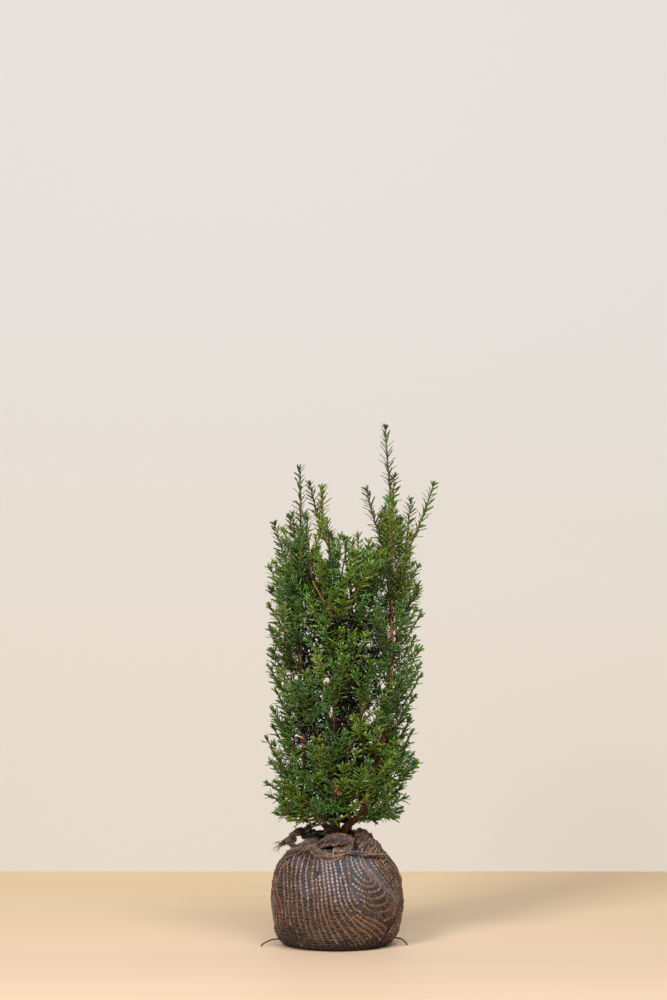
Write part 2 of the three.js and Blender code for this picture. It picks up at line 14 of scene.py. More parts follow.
import bpy
import numpy as np
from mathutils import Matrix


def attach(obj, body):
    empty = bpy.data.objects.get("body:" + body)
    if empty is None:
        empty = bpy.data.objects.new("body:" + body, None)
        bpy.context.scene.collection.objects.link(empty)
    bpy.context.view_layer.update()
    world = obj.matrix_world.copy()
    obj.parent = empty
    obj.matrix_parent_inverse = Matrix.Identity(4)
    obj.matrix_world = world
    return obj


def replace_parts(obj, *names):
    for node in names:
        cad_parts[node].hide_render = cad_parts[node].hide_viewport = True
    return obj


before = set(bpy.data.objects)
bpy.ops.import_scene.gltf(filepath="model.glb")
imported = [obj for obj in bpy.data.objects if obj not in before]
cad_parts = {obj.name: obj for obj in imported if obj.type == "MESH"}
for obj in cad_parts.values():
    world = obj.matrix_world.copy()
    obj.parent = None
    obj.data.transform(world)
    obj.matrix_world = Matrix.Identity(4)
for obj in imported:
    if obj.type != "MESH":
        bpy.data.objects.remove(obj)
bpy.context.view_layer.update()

LOG = logging.getLogger("yew")
BODY = "root"
TAU = 2 * math.pi
UP = np.array([0.0, 0.0, 1.0])
TIP = "tip"

# Farther than any two points of the plant, and what leaves a point's height out
FAR_AWAY = 9.0
LEVEL = np.array([1.0, 1.0, 0.0])

# A direction that hardly any twig runs along
BESIDE = np.array([0.3, 1.0, 0.1])

# A value or an array of them, and a guide line's turns and heights
Number = float | np.ndarray
Guide = tuple[np.ndarray, np.ndarray]

# The viewer: straight in front, level, at the height of the picture's centre
EYE = np.array([-0.005, -5.0, 0.754])
LENS_MM = 105.9
SENSOR_MM = 36.0
WALL_Y = 0.97

# Trunk and root ball
BALL_TOP = 0.170
TRUNK_TOP = 0.190
STEM_FOOT = TRUNK_TOP - 0.008
BALL_PROFILE = (
    (0.085, 0.0), (0.094, 0.006), (0.1035, 0.023), (0.109, 0.048), (0.1105, 0.075), (0.1085, 0.100),
    (0.104, 0.122), (0.097, 0.137), (0.086, 0.149), (0.072, 0.159), (0.054, 0.1665), (0.036, 0.170),
)
BALL_LUMP = 0.012
BALL_LUMPS = 3
BALL_LUMP_TURN = 0.040


@dataclass(frozen=True)
class StemPlan:
    """A stem that starts in the trunk: end radii and route."""

    foot: float
    tip: float
    route: tuple[tuple[float, float, float], ...]


@dataclass(frozen=True)
class Site:
    """Where a branch leaves its limb, and the point that it reaches."""

    on: str
    at: float | str
    end: tuple[float, float, float]
    foot: float = 0.003
    tip: float = 0.0019


STEMS = {
    "stem_right": StemPlan(0.0062, 0.0021, (
        (0.009, 0.001, STEM_FOOT), (0.016, 0.0, 0.197), (0.043, -0.004, 0.224), (0.067, -0.010, 0.310),
        (0.085, -0.012, 0.370), (0.0935, -0.008, 0.489), (0.0935, -0.002, 0.584), (0.093, 0.004, 0.757),
    )),
    "stem_left": StemPlan(0.0058, 0.0020, (
        (-0.009, 0.001, STEM_FOOT), (-0.016, 0.001, 0.197), (-0.037, 0.004, 0.222), (-0.057, 0.008, 0.350),
        (-0.060, 0.006, 0.465), (-0.066, 0.002, 0.525), (-0.058, 0.0, 0.610), (-0.060, 0.002, 0.676),
    )),
    "stem_centre": StemPlan(0.0052, 0.0021, (
        (0.0, 0.001, STEM_FOOT), (0.002, 0.001, 0.210), (0.015, 0.0, 0.330), (0.018, -0.003, 0.431),
        (0.033, -0.003, 0.495), (0.037, 0.0, 0.567), (0.040, 0.002, 0.622),
    )),
    "stem_front": StemPlan(0.0044, 0.0010, (
        (-0.001, -0.007, STEM_FOOT), (-0.002, -0.011, 0.200), (-0.006, -0.030, 0.290),
        (-0.004, -0.046, 0.400), (0.004, -0.054, 0.480), (-0.008, -0.056, 0.552), (-0.042, -0.051, 0.622),
    )),
    "stem_back": StemPlan(0.0044, 0.0019, (
        (0.001, 0.009, STEM_FOOT), (0.001, 0.013, 0.200), (0.002, 0.034, 0.290), (-0.004, 0.047, 0.400),
        (-0.006, 0.050, 0.520), (-0.008, 0.044, 0.650), (-0.026, 0.038, 0.712),
    )),
}
BOUGHS = {
    "bough_upper_right": Site("stem_right", 0.592, (0.1215, -0.008, 0.671), 0.0028, 0.0018),
    "bough_front_right": Site("stem_front", 0.262, (0.050, -0.072, 0.420)),
    "bough_back_right": Site("stem_back", 0.300, (0.056, 0.074, 0.452)),
    "bough_back_left": Site("stem_left", 0.268, (-0.062, 0.068, 0.425)),
}
LEADERS = {
    "leader_top": Site("stem_right", TIP, (0.0825, 0.004, 0.883)),
    "leader_inner_right": Site("stem_right", 0.640, (0.0485, -0.022, 0.776)),
    "leader_outer_right": Site("bough_upper_right", TIP, (0.166, -0.014, 0.785)),
    "leader_middle_right": Site("bough_upper_right", 0.646, (0.127, 0.026, 0.759)),
    "leader_low_right": Site("stem_right", 0.572, (0.140, -0.026, 0.646)),
    "leader_top_left": Site("stem_left", TIP, (-0.062, 0.004, 0.813)),
    "leader_outer_left": Site("stem_left", 0.585, (-0.106, -0.014, 0.718)),
    "leader_rear_left": Site("stem_left", 0.625, (-0.092, 0.034, 0.707)),
    "leader_inner_left": Site("stem_left", 0.652, (-0.080, -0.034, 0.730)),
    "leader_low_left": Site("stem_left", 0.538, (-0.114, 0.008, 0.645)),
    "leader_front_left": Site("stem_front", TIP, (-0.050, -0.046, 0.727)),
    "leader_middle": Site("stem_back", TIP, (-0.023, 0.030, 0.781)),
    "leader_rear_middle": Site("stem_back", 0.668, (-0.047, 0.052, 0.786)),
    "leader_front_middle": Site("stem_front", 0.560, (0.006, -0.050, 0.698)),
    "leader_centre": Site("stem_centre", TIP, (0.036, -0.004, 0.698)),
    "leader_rear_right": Site("stem_centre", 0.590, (0.056, 0.046, 0.688)),
}

# Crown: height, reach to the left and reach to the right
CROWN_OUTLINE = (
    (0.190, 0.084, 0.096), (0.226, 0.098, 0.112), (0.252, 0.118, 0.122), (0.303, 0.118, 0.142),
    (0.340, 0.120, 0.124), (0.400, 0.112, 0.124), (0.460, 0.114, 0.146), (0.560, 0.117, 0.146),
    (0.650, 0.118, 0.146), (0.720, 0.116, 0.160), (0.790, 0.084, 0.180), (0.900, 0.080, 0.112),
)
CROWN_BOTTOM = 0.203
CROWN_DEPTH = 0.94
CROWN_MARGIN = 0.97
MARGIN_SLACK = 0.22
SHOULDER_SLACK = 0.085

# Sites of the body's masses, spread by the golden angle
GOLDEN_TURN = (3 - math.sqrt(5)) / 2
GOLDEN_SHARE = 1 - GOLDEN_TURN
TIP_INSET = 0.9
BODY_COUNT = 23
BODY_LOWEST_TIP = 0.226
BODY_HIGHEST_TIP = 0.650
BODY_FIRST_TURN = 0.42
BODY_RISE = 1.5
BODY_LOWEST_FOOT = 0.232
FOOT_SLACK = 0.014
OFF_LIMB_FOOT = 0.024
OFF_LIMB_TIP = 0.012
RISE_WEIGHT = 2

# Growth rule
AXIS_SAG = 0.13
LIMB_TAPER = 0.85
LIMB_SAMPLES = 40
TIP_SOCKET = 0.006
HEIGHT_STEPS = 24
BOUGH_STRETCHES = 4
SIDE_ANGLE_SPREAD = 0.15
SIDE_TURN_SPREAD = 0.12
SIDE_LIFT = 0.3
SIDE_TAPER = 0.5
SIDE_LENGTHS = (0.85, 1.1)

# Heights up to which short shoots reach, from the left to the right
SHOULDER = (
    (-0.125, 0.590), (-0.112, 0.655), (-0.095, 0.705), (-0.060, 0.735), (-0.020, 0.722), (0.0, 0.690),
    (0.060, 0.688), (0.072, 0.735), (0.088, 0.772), (0.102, 0.760), (0.120, 0.715), (0.138, 0.650),
    (0.155, 0.590),
)

# Young shoots that stand between the leaders
TOP_SHOOTS = (
    Site("stem_right", 0.742, (0.099, -0.006, 0.799)),
    Site("stem_left", 0.600, (-0.0745, -0.024, 0.735)),
    Site("stem_left", 0.560, (-0.080, -0.036, 0.683)),
    Site("stem_back", 0.600, (-0.016, -0.004, 0.722)),
    Site("stem_centre", 0.520, (0.012, -0.022, 0.692)),
    Site("stem_centre", 0.575, (0.026, -0.030, 0.687)),
    Site("stem_centre", 0.575, (0.056, -0.034, 0.676)),
    Site("stem_right", 0.600, (0.074, -0.020, 0.732)),
    Site("stem_right", 0.560, (0.078, 0.040, 0.705)),
    Site("bough_upper_right", 0.620, (0.107, -0.024, 0.726)),
    Site("stem_right", 0.545, (0.116, -0.040, 0.660)),
    Site("stem_right", 0.530, (0.139, -0.012, 0.614)),
    Site("stem_front", 0.540, (-0.018, -0.072, 0.655)),
    Site("stem_left", 0.540, (-0.080, -0.060, 0.650)),
    Site("stem_centre", 0.500, (0.036, -0.062, 0.640)),
    Site("stem_back", 0.560, (0.020, 0.075, 0.690)),
    Site("stem_back", 0.540, (-0.070, 0.080, 0.680)),
    Site("stem_back", 0.480, (0.072, 0.080, 0.650)),
)

# Shoots that hang low around the fork
LOW_SHOOTS = (
    Site("stem_left", 0.218, (-0.104, -0.030, 0.226)), Site("stem_left", 0.214, (-0.078, -0.056, 0.218)),
    Site("stem_front", 0.220, (-0.046, -0.070, 0.206)), Site("stem_front", 0.232, (-0.014, -0.084, 0.222)),
    Site("stem_right", 0.222, (0.066, -0.050, 0.217)), Site("stem_right", 0.226, (0.102, -0.026, 0.218)),
    Site("stem_right", 0.222, (0.080, 0.050, 0.220)), Site("stem_back", 0.222, (0.020, 0.082, 0.220)),
    Site("stem_back", 0.226, (-0.040, 0.074, 0.220)), Site("stem_left", 0.226, (-0.092, 0.044, 0.222)),
    Site("stem_back", 0.206, (0.036, 0.040, 0.212)), Site("stem_back", 0.206, (0.008, 0.056, 0.205)),
    Site("stem_back", 0.208, (-0.030, 0.046, 0.208)), Site("stem_left", 0.212, (-0.057, -0.036, 0.190)),
    Site("stem_front", 0.208, (-0.030, -0.052, 0.190)),
)

# Tips of the shoots that stand out from the crown's right and left edges
EDGE_TIPS = (
    (0.143, -0.010, 0.562), (0.141, 0.012, 0.502), (0.144, -0.015, 0.460), (0.131, 0.010, 0.422),
    (0.119, -0.020, 0.402), (0.125, 0.015, 0.382), (0.129, -0.008, 0.363), (0.117, 0.010, 0.336),
    (0.137, -0.012, 0.312), (0.119, -0.020, 0.251), (0.107, 0.010, 0.222), (-0.115, 0.008, 0.577),
    (-0.112, -0.012, 0.538), (-0.105, 0.010, 0.487), (-0.114, -0.008, 0.473), (-0.104, 0.012, 0.431),
    (-0.109, -0.015, 0.402), (-0.109, 0.010, 0.370), (-0.119, -0.006, 0.350), (-0.113, 0.012, 0.310),
    (-0.119, -0.010, 0.275), (-0.117, 0.012, 0.252), (-0.098, -0.014, 0.230), (-0.093, -0.030, 0.223),
)

# Dead brown sprigs low in front: foot and end
DEAD_SPRIGS = (
    ((-0.006, -0.100, 0.288), (0.003, -0.112, 0.268)),
    ((-0.034, -0.060, 0.224), (-0.026, -0.074, 0.212)),
)

# Windows in the crown, as the viewer sees them: middle, half sizes, and the depth
# behind which nothing is cleared, so that they show sky or a stem
SEEN_THROUGH = (
    (-0.075, 0.455, 0.012, 0.011, 1.0), (-0.0755, 0.390, 0.005, 0.010, 1.0),
    (-0.072, 0.345, 0.005, 0.015, 1.0), (-0.013, 0.454, 0.009, 0.010, 1.0),
    (-0.0095, 0.392, 0.008, 0.011, 1.0), (0.056, 0.387, 0.009, 0.016, 1.0),
    (0.079, 0.443, 0.007, 0.011, 1.0), (0.097, 0.540, 0.0040, 0.030, 1.0),
    (0.097, 0.288, 0.006, 0.008, 1.0), (0.030, 0.573, 0.006, 0.012, 1.0), (0.023, 0.600, 0.008, 0.017, 1.0),
    (0.011, 0.642, 0.007, 0.018, 1.0), (0.086, 0.610, 0.005, 0.015, 1.0), (0.013, 0.662, 0.006, 0.016, 1.0),
    (-0.018, 0.672, 0.007, 0.022, 1.0), (-0.043, 0.690, 0.005, 0.020, 1.0),
    (-0.031, 0.196, 0.013, 0.009, 1.0), (0.003, 0.426, 0.007, 0.014, 0.01),
    (0.002, 0.368, 0.007, 0.018, 0.01), (0.032, 0.338, 0.005, 0.010, 0.01),
    (-0.028, 0.503, 0.009, 0.005, -0.02), (0.094, 0.671, 0.010, 0.010, -0.05),
    (0.0925, 0.552, 0.0065, 0.052, -0.002), (0.0895, 0.680, 0.0040, 0.030, 0.0),
    (-0.061, 0.462, 0.0040, 0.009, 0.0), (0.033, 0.487, 0.0050, 0.014, -0.006),
    (-0.0125, 0.560, 0.0075, 0.012, -0.048), (-0.021, 0.580, 0.0075, 0.013, -0.048),
    (-0.030, 0.600, 0.0075, 0.013, -0.048), (-0.038, 0.616, 0.0070, 0.010, -0.048),
    (0.022, 0.205, 0.0180, 0.012, 0.0), (0.045, 0.228, 0.0090, 0.012, -0.004),
    (0.068, 0.305, 0.0070, 0.014, -0.010), (0.082, 0.352, 0.0060, 0.014, -0.012),
)


def srgb(text: str) -> tuple[float, float, float, float]:
    """Linear colour from six hex digits.

    Args:
        text: The colour as it looks on a screen, such as "4f6b2c".

    Returns:
        Red, green, blue and alpha for a shader socket.
    """
    parts = [int(text[i:i + 2], 16) / 255 for i in (0, 2, 4)]
    linear = [c / 12.92 if c <= 0.04045 else ((c + 0.055) / 1.055) ** 2.4 for c in parts]
    return (*linear, 1.0)


def unit(vectors: np.ndarray) -> np.ndarray:
    """Vectors of length one in the same directions."""
    return vectors / np.maximum(np.linalg.norm(vectors, axis=-1, keepdims=True), 1e-12)


def lerp(low: Number, high: Number, share: Number) -> Number:
    """The value that lies a share of the way from low to high."""
    return low + (high - low) * share


def ramp(values: Number, start: float, width: float) -> Number:
    """Values turned into shares: 0 up to the start, and 1 a width further on."""
    return np.clip((values - start) / width, 0, 1)


def turned(first: np.ndarray, second: np.ndarray, angle: float) -> np.ndarray:
    """The direction at an angle from the first towards the second."""
    return first * math.cos(angle) + second * math.sin(angle)


def walked(points: np.ndarray) -> np.ndarray:
    """Distances walked along a line, from zero at its first point to its length."""
    return np.concatenate([[0.0], np.cumsum(np.linalg.norm(np.diff(points, axis=0), axis=1))])


def resampled(places: np.ndarray, walk: np.ndarray, rows: np.ndarray) -> np.ndarray:
    """Rows of 3 read off at places along a walk."""
    return np.stack([np.interp(places, walk, rows[:, k]) for k in range(3)], -1)


class Chance:
    """A small seeded generator with the same draws on any machine."""

    FACTOR = 1664525
    SHIFT = 1013904223
    RANGE = 2 ** 32
    WARM_UP = 4

    def __init__(self, seed: int) -> None:
        """Starts the draws.

        Args:
            seed: A whole number, which may be negative.
        """
        self.state = seed % self.RANGE
        for _ in range(self.WARM_UP):
            self.next()

    def next(self) -> float:
        """The next draw from 0 to 1."""
        self.state = (self.state * self.FACTOR + self.SHIFT) % self.RANGE
        return self.state / self.RANGE

    def between(self, low: float, high: float) -> float:
        """The next draw from low to high."""
        return lerp(low, high, self.next())


class Ripple:
    """Smooth noise in space: a sum of waves with seeded headings."""

    def __init__(self, wavelength: float, seed: int, stretch: float = 1.0, waves: int = 9) -> None:
        """Draws the waves.

        Args:
            wavelength: Typical distance from crest to crest.
            seed: Seed of the headings and phases.
            stretch: How much longer the waves are along Z.
            waves: How many waves are added.
        """
        rng = np.random.default_rng(seed)
        headings = unit(rng.normal(size=(waves, 3))) / np.array([1.0, 1.0, stretch])
        self.waves = headings * TAU / wavelength * rng.uniform(0.7, 1.4, (waves, 1))
        self.phases = rng.uniform(0, TAU, waves)

    def at(self, points: np.ndarray) -> np.ndarray:
        """Values of about -1 to 1 at points of any array shape."""
        count = len(self.phases)
        return np.sin(points @ self.waves.T + self.phases).sum(axis=-1) / math.sqrt(count)


class Curve:
    """A curve that is walked by shares of its length."""

    DIVISIONS = 200
    STEP = 1e-4

    def __init__(self) -> None:
        """Measures the curve."""
        self.parameters = np.linspace(0, 1, self.DIVISIONS + 1)
        self.lengths = walked(self.at(self.parameters))

    def at(self, t: np.ndarray) -> np.ndarray:
        """Points at curve parameters from 0 to 1."""
        raise NotImplementedError

    def parameter(self, share: np.ndarray) -> np.ndarray:
        """Curve parameters at shares of the length."""
        return np.interp(np.asarray(share) * self.lengths[-1], self.lengths, self.parameters)

    def points(self, share: np.ndarray) -> np.ndarray:
        """Points at shares of the length."""
        return self.at(np.atleast_1d(self.parameter(share)))

    def point(self, share: float) -> np.ndarray:
        """The point at one share of the length."""
        return self.points(share)[0]

    def heading(self, share: float) -> np.ndarray:
        """The direction of travel.

        Args:
            share: Where it is wanted, as a share of the length.

        Returns:
            A direction of length one.
        """
        t = float(self.parameter(share))
        ends = self.at(np.array([max(t - self.STEP, 0), min(t + self.STEP, 1)]))
        return unit(ends[1] - ends[0])


class Spline(Curve):
    """Centripetal Catmull-Rom curve through points."""

    def __init__(self, route: np.ndarray) -> None:
        """Pads the route with a mirrored point at both ends.

        Args:
            route: The points that the curve passes, as rows of 3.
        """
        route = np.asarray(route, dtype=float)
        self.spans = len(route) - 1
        self.padded = np.vstack([2 * route[0] - route[1], route, 2 * route[-1] - route[-2]])
        super().__init__()

    def at(self, t: np.ndarray) -> np.ndarray:
        """Finds points of the curve.

        Args:
            t: Curve parameters from 0 to 1.

        Returns:
            The points as rows of 3.
        """
        place = np.asarray(t) * self.spans
        index = np.minimum(place.astype(int), self.spans - 1)
        w = (place - index)[:, None]
        p0, p1, p2, p3 = (self.padded[index + k] for k in range(4))
        d0, d1, d2 = (
            np.sqrt(np.linalg.norm(b - a, axis=1))[:, None] for a, b in ((p0, p1), (p1, p2), (p2, p3))
        )
        leave = ((p1 - p0) / d0 - (p2 - p0) / (d0 + d1) + (p2 - p1) / d1) * d1
        reach = ((p2 - p1) / d1 - (p3 - p1) / (d1 + d2) + (p3 - p2) / d2) * d1
        square = -3 * p1 + 3 * p2 - 2 * leave - reach
        cube = 2 * p1 - 2 * p2 + leave + reach
        return p1 + leave * w + square * w ** 2 + cube * w ** 3


class Bend(Curve):
    """A branch's curve: it leaves its limb low and rises to its end."""

    def __init__(self, foot: np.ndarray, end: np.ndarray) -> None:
        """Lowers the middle by a share of the branch's length.

        Args:
            foot: Where the branch starts.
            end: Where it ends.
        """
        sag = AXIS_SAG * np.linalg.norm(end - foot)
        self.knots = (foot, (foot + end) / 2 - UP * sag, end)
        super().__init__()

    def at(self, t: np.ndarray) -> np.ndarray:
        """Finds points of the curve.

        Args:
            t: Curve parameters from 0 to 1.

        Returns:
            The points as rows of 3.
        """
        t = np.asarray(t, dtype=float)[:, None]
        foot, middle, end = self.knots
        return foot * (1 - t) ** 2 + middle * 2 * t * (1 - t) + end * t ** 2


@dataclass
class Limb:
    """A stem or bough: its curve and end radii."""

    curve: Curve
    foot: float
    tip: float
    samples: np.ndarray = field(init=False)

    def __post_init__(self) -> None:
        """Keeps evenly spaced points of the curve."""
        self.samples = self.curve.points(np.linspace(0, 1, LIMB_SAMPLES + 1))

    def radius(self, share: np.ndarray) -> np.ndarray:
        """Radii at shares of the length."""
        return lerp(self.foot, self.tip, np.asarray(share) ** LIMB_TAPER)

    def share_at_height(self, height: float) -> float:
        """Finds the place at which the limb passes a height.

        Args:
            height: The height above the ground.

        Returns:
            The share of the length there.
        """
        low, high = 0.0, 1.0
        for _ in range(HEIGHT_STEPS):
            middle = (low + high) / 2
            if self.curve.point(middle)[2] < height:
                low = middle
            else:
                high = middle
        return low

    def branch_foot(self, at: float | str) -> np.ndarray:
        """The point inside the limb where a branch starts."""
        return self.curve.point(1 - TIP_SOCKET if at == TIP else self.share_at_height(at))


class Crown:
    """The crown's outline, and the windows in it."""

    def __init__(self) -> None:
        """Splits the outline into columns."""
        self.heights, self.left, self.right = np.array(CROWN_OUTLINE).T
        self.places, self.shoulder = np.array(SHOULDER).T

    def halves(self, points: np.ndarray) -> tuple[np.ndarray, np.ndarray]:
        """Half width on a point's own side, and half depth.

        Args:
            points: Points as an array that ends in 3.

        Returns:
            The half widths and the half depths at the points' heights.
        """
        left = np.interp(points[..., 2], self.heights, self.left)
        right = np.interp(points[..., 2], self.heights, self.right)
        side = np.where(points[..., 0] < 0, left, right)
        return side, CROWN_DEPTH * (left + right) / 2

    def share_out(self, points: np.ndarray) -> np.ndarray:
        """How far out points lie: 0 on the middle line, 1 on the outline."""
        side, depth = self.halves(points)
        return np.hypot(points[..., 0] / side, points[..., 1] / depth)

    def holds(self, points: np.ndarray, slack: float) -> bool:
        """Whether every point lies in the crown's body, below the leaders.

        Args:
            points: Points, as rows of 3.
            slack: How far the body's edge draws back here, from 0 to 1.

        Returns:
            True if all of them do.
        """
        height = points[..., 2]
        top = np.interp(points[..., 0], self.places, self.shoulder) - SHOULDER_SLACK * slack
        within = self.share_out(points) < CROWN_MARGIN - MARGIN_SLACK * slack
        return bool(np.all(within & (height < top) & (height > CROWN_BOTTOM)))

    def blocks_view(self, points: np.ndarray) -> np.ndarray:
        """Which points stand in a window's view, as the viewer sees it.

        Args:
            points: Points as an array that ends in 3.

        Returns:
            True for each point that is in the way.
        """
        scale = -EYE[1] / (points[..., 1] - EYE[1])
        seen_x = EYE[0] + (points[..., 0] - EYE[0]) * scale
        seen_z = EYE[2] + (points[..., 2] - EYE[2]) * scale
        blocked = np.zeros(seen_x.shape, dtype=bool)
        for x, z, half_width, half_height, depth in SEEN_THROUGH:
            within = ((seen_x - x) / half_width) ** 2 + ((seen_z - z) / half_height) ** 2 < 1
            blocked |= within & (points[..., 1] < depth)
        return blocked


def placed(name: str, data: bpy.types.ID) -> bpy.types.Object:
    """Puts a new object into the scene.

    Args:
        name: The object's name.
        data: Its mesh, light or camera.

    Returns:
        The object.
    """
    thing = bpy.data.objects.new(name, data)
    bpy.context.scene.collection.objects.link(thing)
    return thing


@dataclass
class MeshBatch:
    """Vertices and triangles that become one piece."""

    vertices: list[np.ndarray] = field(default_factory=list)
    triangles: list[np.ndarray] = field(default_factory=list)
    finishes: list[np.ndarray] = field(default_factory=list)
    count: int = 0

    def add(self, vertices: np.ndarray, triangles: np.ndarray, finish: int | np.ndarray = 0) -> None:
        """Adds a mesh.

        Args:
            vertices: Points, as rows of 3.
            triangles: Rows of 3 indices into those points.
            finish: The material's index, one for all or one for each triangle.
        """
        self.vertices.append(vertices.reshape(-1, 3))
        self.triangles.append(triangles.reshape(-1, 3) + self.count)
        self.finishes.append(np.broadcast_to(finish, len(self.triangles[-1])))
        self.count += len(self.vertices[-1])

    def build(self, name: str, materials: list[bpy.types.Material], slot: str) -> bpy.types.Object:
        """Makes the piece, which rides on the root body.

        Args:
            name: The piece's name.
            materials: Its materials, in the order of the finish indices.
            slot: Not used.

        Returns:
            The new object.
        """
        vertices = np.concatenate(self.vertices).astype(np.float32)
        vertices[:, 2] = np.maximum(vertices[:, 2], 0)
        triangles = np.concatenate(self.triangles).astype(np.int32)
        mesh = bpy.data.meshes.new(name)
        mesh.vertices.add(len(vertices))
        mesh.vertices.foreach_set("co", vertices.ravel())
        mesh.loops.add(triangles.size)
        mesh.loops.foreach_set("vertex_index", triangles.ravel())
        mesh.polygons.add(len(triangles))
        mesh.polygons.foreach_set("loop_start", np.arange(0, triangles.size, 3, dtype=np.int32))
        mesh.polygons.foreach_set("material_index", np.concatenate(self.finishes).astype(np.int32))
        mesh.polygons.foreach_set("use_smooth", np.ones(len(triangles), dtype=bool))
        mesh.update(calc_edges=True)
        for material in materials:
            mesh.materials.append(material)
        piece = placed(name, mesh)
        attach(piece, BODY)
        LOG.info("%s: %d triangles", name, len(triangles))
        return piece


def tube_triangles(stations: int, sides: int) -> np.ndarray:
    """Triangles of a closed tube, whose points are its rings and then its ends' middles.

    Args:
        stations: How many rings there are.
        sides: Corners of a ring.

    Returns:
        Rows of 3 indices: the walls, then the fan at the foot and the one at the end.
    """
    corner = np.arange(sides)
    nearby = (corner + 1) % sides
    base = np.arange(stations - 1)[:, None] * sides
    a, b, c, d = base + corner, base + nearby, base + sides + nearby, base + sides + corner
    walls = np.stack([np.stack([a, b, c], -1), np.stack([a, c, d], -1)], axis=2).reshape(-1, 3)
    foot, end = stations * sides, stations * sides + 1
    last = (stations - 1) * sides
    foot_fan = np.stack([np.full(sides, foot), nearby, corner], -1)
    end_fan = np.stack([np.full(sides, end), last + corner, last + nearby], -1)
    return np.concatenate([walls, foot_fan, end_fan])


def rings_of(vertices: np.ndarray, sides: int) -> np.ndarray:
    """The rings of a single swept tube, as (stations, sides, 3)."""
    return vertices[0, :-2].reshape(-1, sides, 3)


def sweep(
    lines: np.ndarray, radii: np.ndarray, reference: np.ndarray, sides: int, flat: float = 1.0
) -> tuple[np.ndarray, np.ndarray]:
    """Closed tubes along lines.

    Args:
        lines: Middle lines, as (tubes, stations, 3).
        radii: Radii that broadcast to (tubes, stations, sides).
        reference: Directions square to the lines that the sections start from, as (tubes, 1 or
            stations, 3).
        sides: Corners of a section.
        flat: Thickness along the reference as a share of the width.

    Returns:
        Vertices as (tubes, points, 3) and triangles as (tubes, faces, 3).
    """
    tubes, stations, _ = lines.shape
    along = np.empty_like(lines)
    along[:, 1:-1] = lines[:, 2:] - lines[:, :-2]
    along[:, 0] = lines[:, 1] - lines[:, 0]
    along[:, -1] = lines[:, -1] - lines[:, -2]
    along = unit(along)
    across = unit(np.cross(along, np.broadcast_to(reference, lines.shape)))
    out = np.cross(across, along)
    turns = np.arange(sides) * TAU / sides
    ring = across[:, :, None] * np.cos(turns)[:, None] + out[:, :, None] * (flat * np.sin(turns))[:, None]
    radii = np.broadcast_to(radii, (tubes, stations, sides))
    rings = lines[:, :, None] + ring * radii[..., None]
    vertices = np.concatenate([rings.reshape(tubes, -1, 3), lines[:, [0, -1]]], axis=1)
    offsets = np.arange(tubes)[:, None, None] * vertices.shape[1]
    return vertices, tube_triangles(stations, sides)[None] + offsets


class Graph:
    """A shader tree, whose nodes are added with their values and links in one call."""

    INPUT_KINDS = {1: "NodeSocketFloat", 3: "NodeSocketVector", 4: "NodeSocketColor"}
    OUTPUT_KINDS = {"VALUE": "NodeSocketFloat", "VECTOR": "NodeSocketVector", "RGBA": "NodeSocketColor"}

    # Places of a colour Mix node's two colours and of its result
    FIRST_COLOUR = 6
    SECOND_COLOUR = 7
    MIXED_COLOUR = 2

    def __init__(self, tree: bpy.types.NodeTree) -> None:
        """Takes the tree."""
        self.tree = tree

    @classmethod
    def group(cls, name: str, inputs: dict[str, float | tuple]) -> tuple["Graph", bpy.types.NodeOutputs]:
        """Starts a shader node group.

        Args:
            name: The group's name.
            inputs: Default values by input name: a number, a vector of 3 or a colour of 4.

        Returns:
            The group's graph, and the sockets that give its inputs, by name.
        """
        tree = bpy.data.node_groups.new(name, "ShaderNodeTree")
        for label, value in inputs.items():
            kind = cls.INPUT_KINDS[np.size(value)]
            socket = tree.interface.new_socket(label, in_out="INPUT", socket_type=kind)
            socket.default_value = value
        return cls(tree), tree.nodes.new("NodeGroupInput").outputs

    def close(self, label: str, socket: bpy.types.NodeSocket) -> bpy.types.NodeTree:
        """Ends a shader node group.

        Args:
            label: The name of its output.
            socket: The socket that feeds it.

        Returns:
            The group.
        """
        self.tree.interface.new_socket(label, in_out="OUTPUT", socket_type=self.OUTPUT_KINDS[socket.type])
        self.feed(self.tree.nodes.new("NodeGroupOutput"), {label: socket})
        return self.tree

    def feed(self, node: bpy.types.Node, inputs: dict) -> None:
        """Sets inputs of a node.

        Args:
            node: The node.
            inputs: By name or index, a constant, or the socket that feeds the input.
        """
        for label, value in inputs.items():
            if isinstance(value, bpy.types.NodeSocket):
                self.tree.links.new(value, node.inputs[label])
            else:
                node.inputs[label].default_value = value

    def add(self, kind: str, inputs: dict, **settings: object) -> bpy.types.NodeOutputs:
        """Adds a node.

        Args:
            kind: Its type, without the "ShaderNode" that starts it.
            inputs: Its inputs, as feed takes them.
            settings: Its own properties by name.

        Returns:
            The node's outputs.
        """
        node = self.tree.nodes.new(f"ShaderNode{kind}")
        for label, value in settings.items():
            setattr(node, label, value)
        self.feed(node, inputs)
        return node.outputs

    def mix(self, share: object, first: object, second: object, blend: str = "MIX") -> bpy.types.NodeSocket:
        """The socket of two colours mixed, the second by a share, where each can be a socket."""
        inputs = {"Factor": share, self.FIRST_COLOUR: first, self.SECOND_COLOUR: second}
        return self.add("Mix", inputs, data_type="RGBA", blend_type=blend)[self.MIXED_COLOUR]


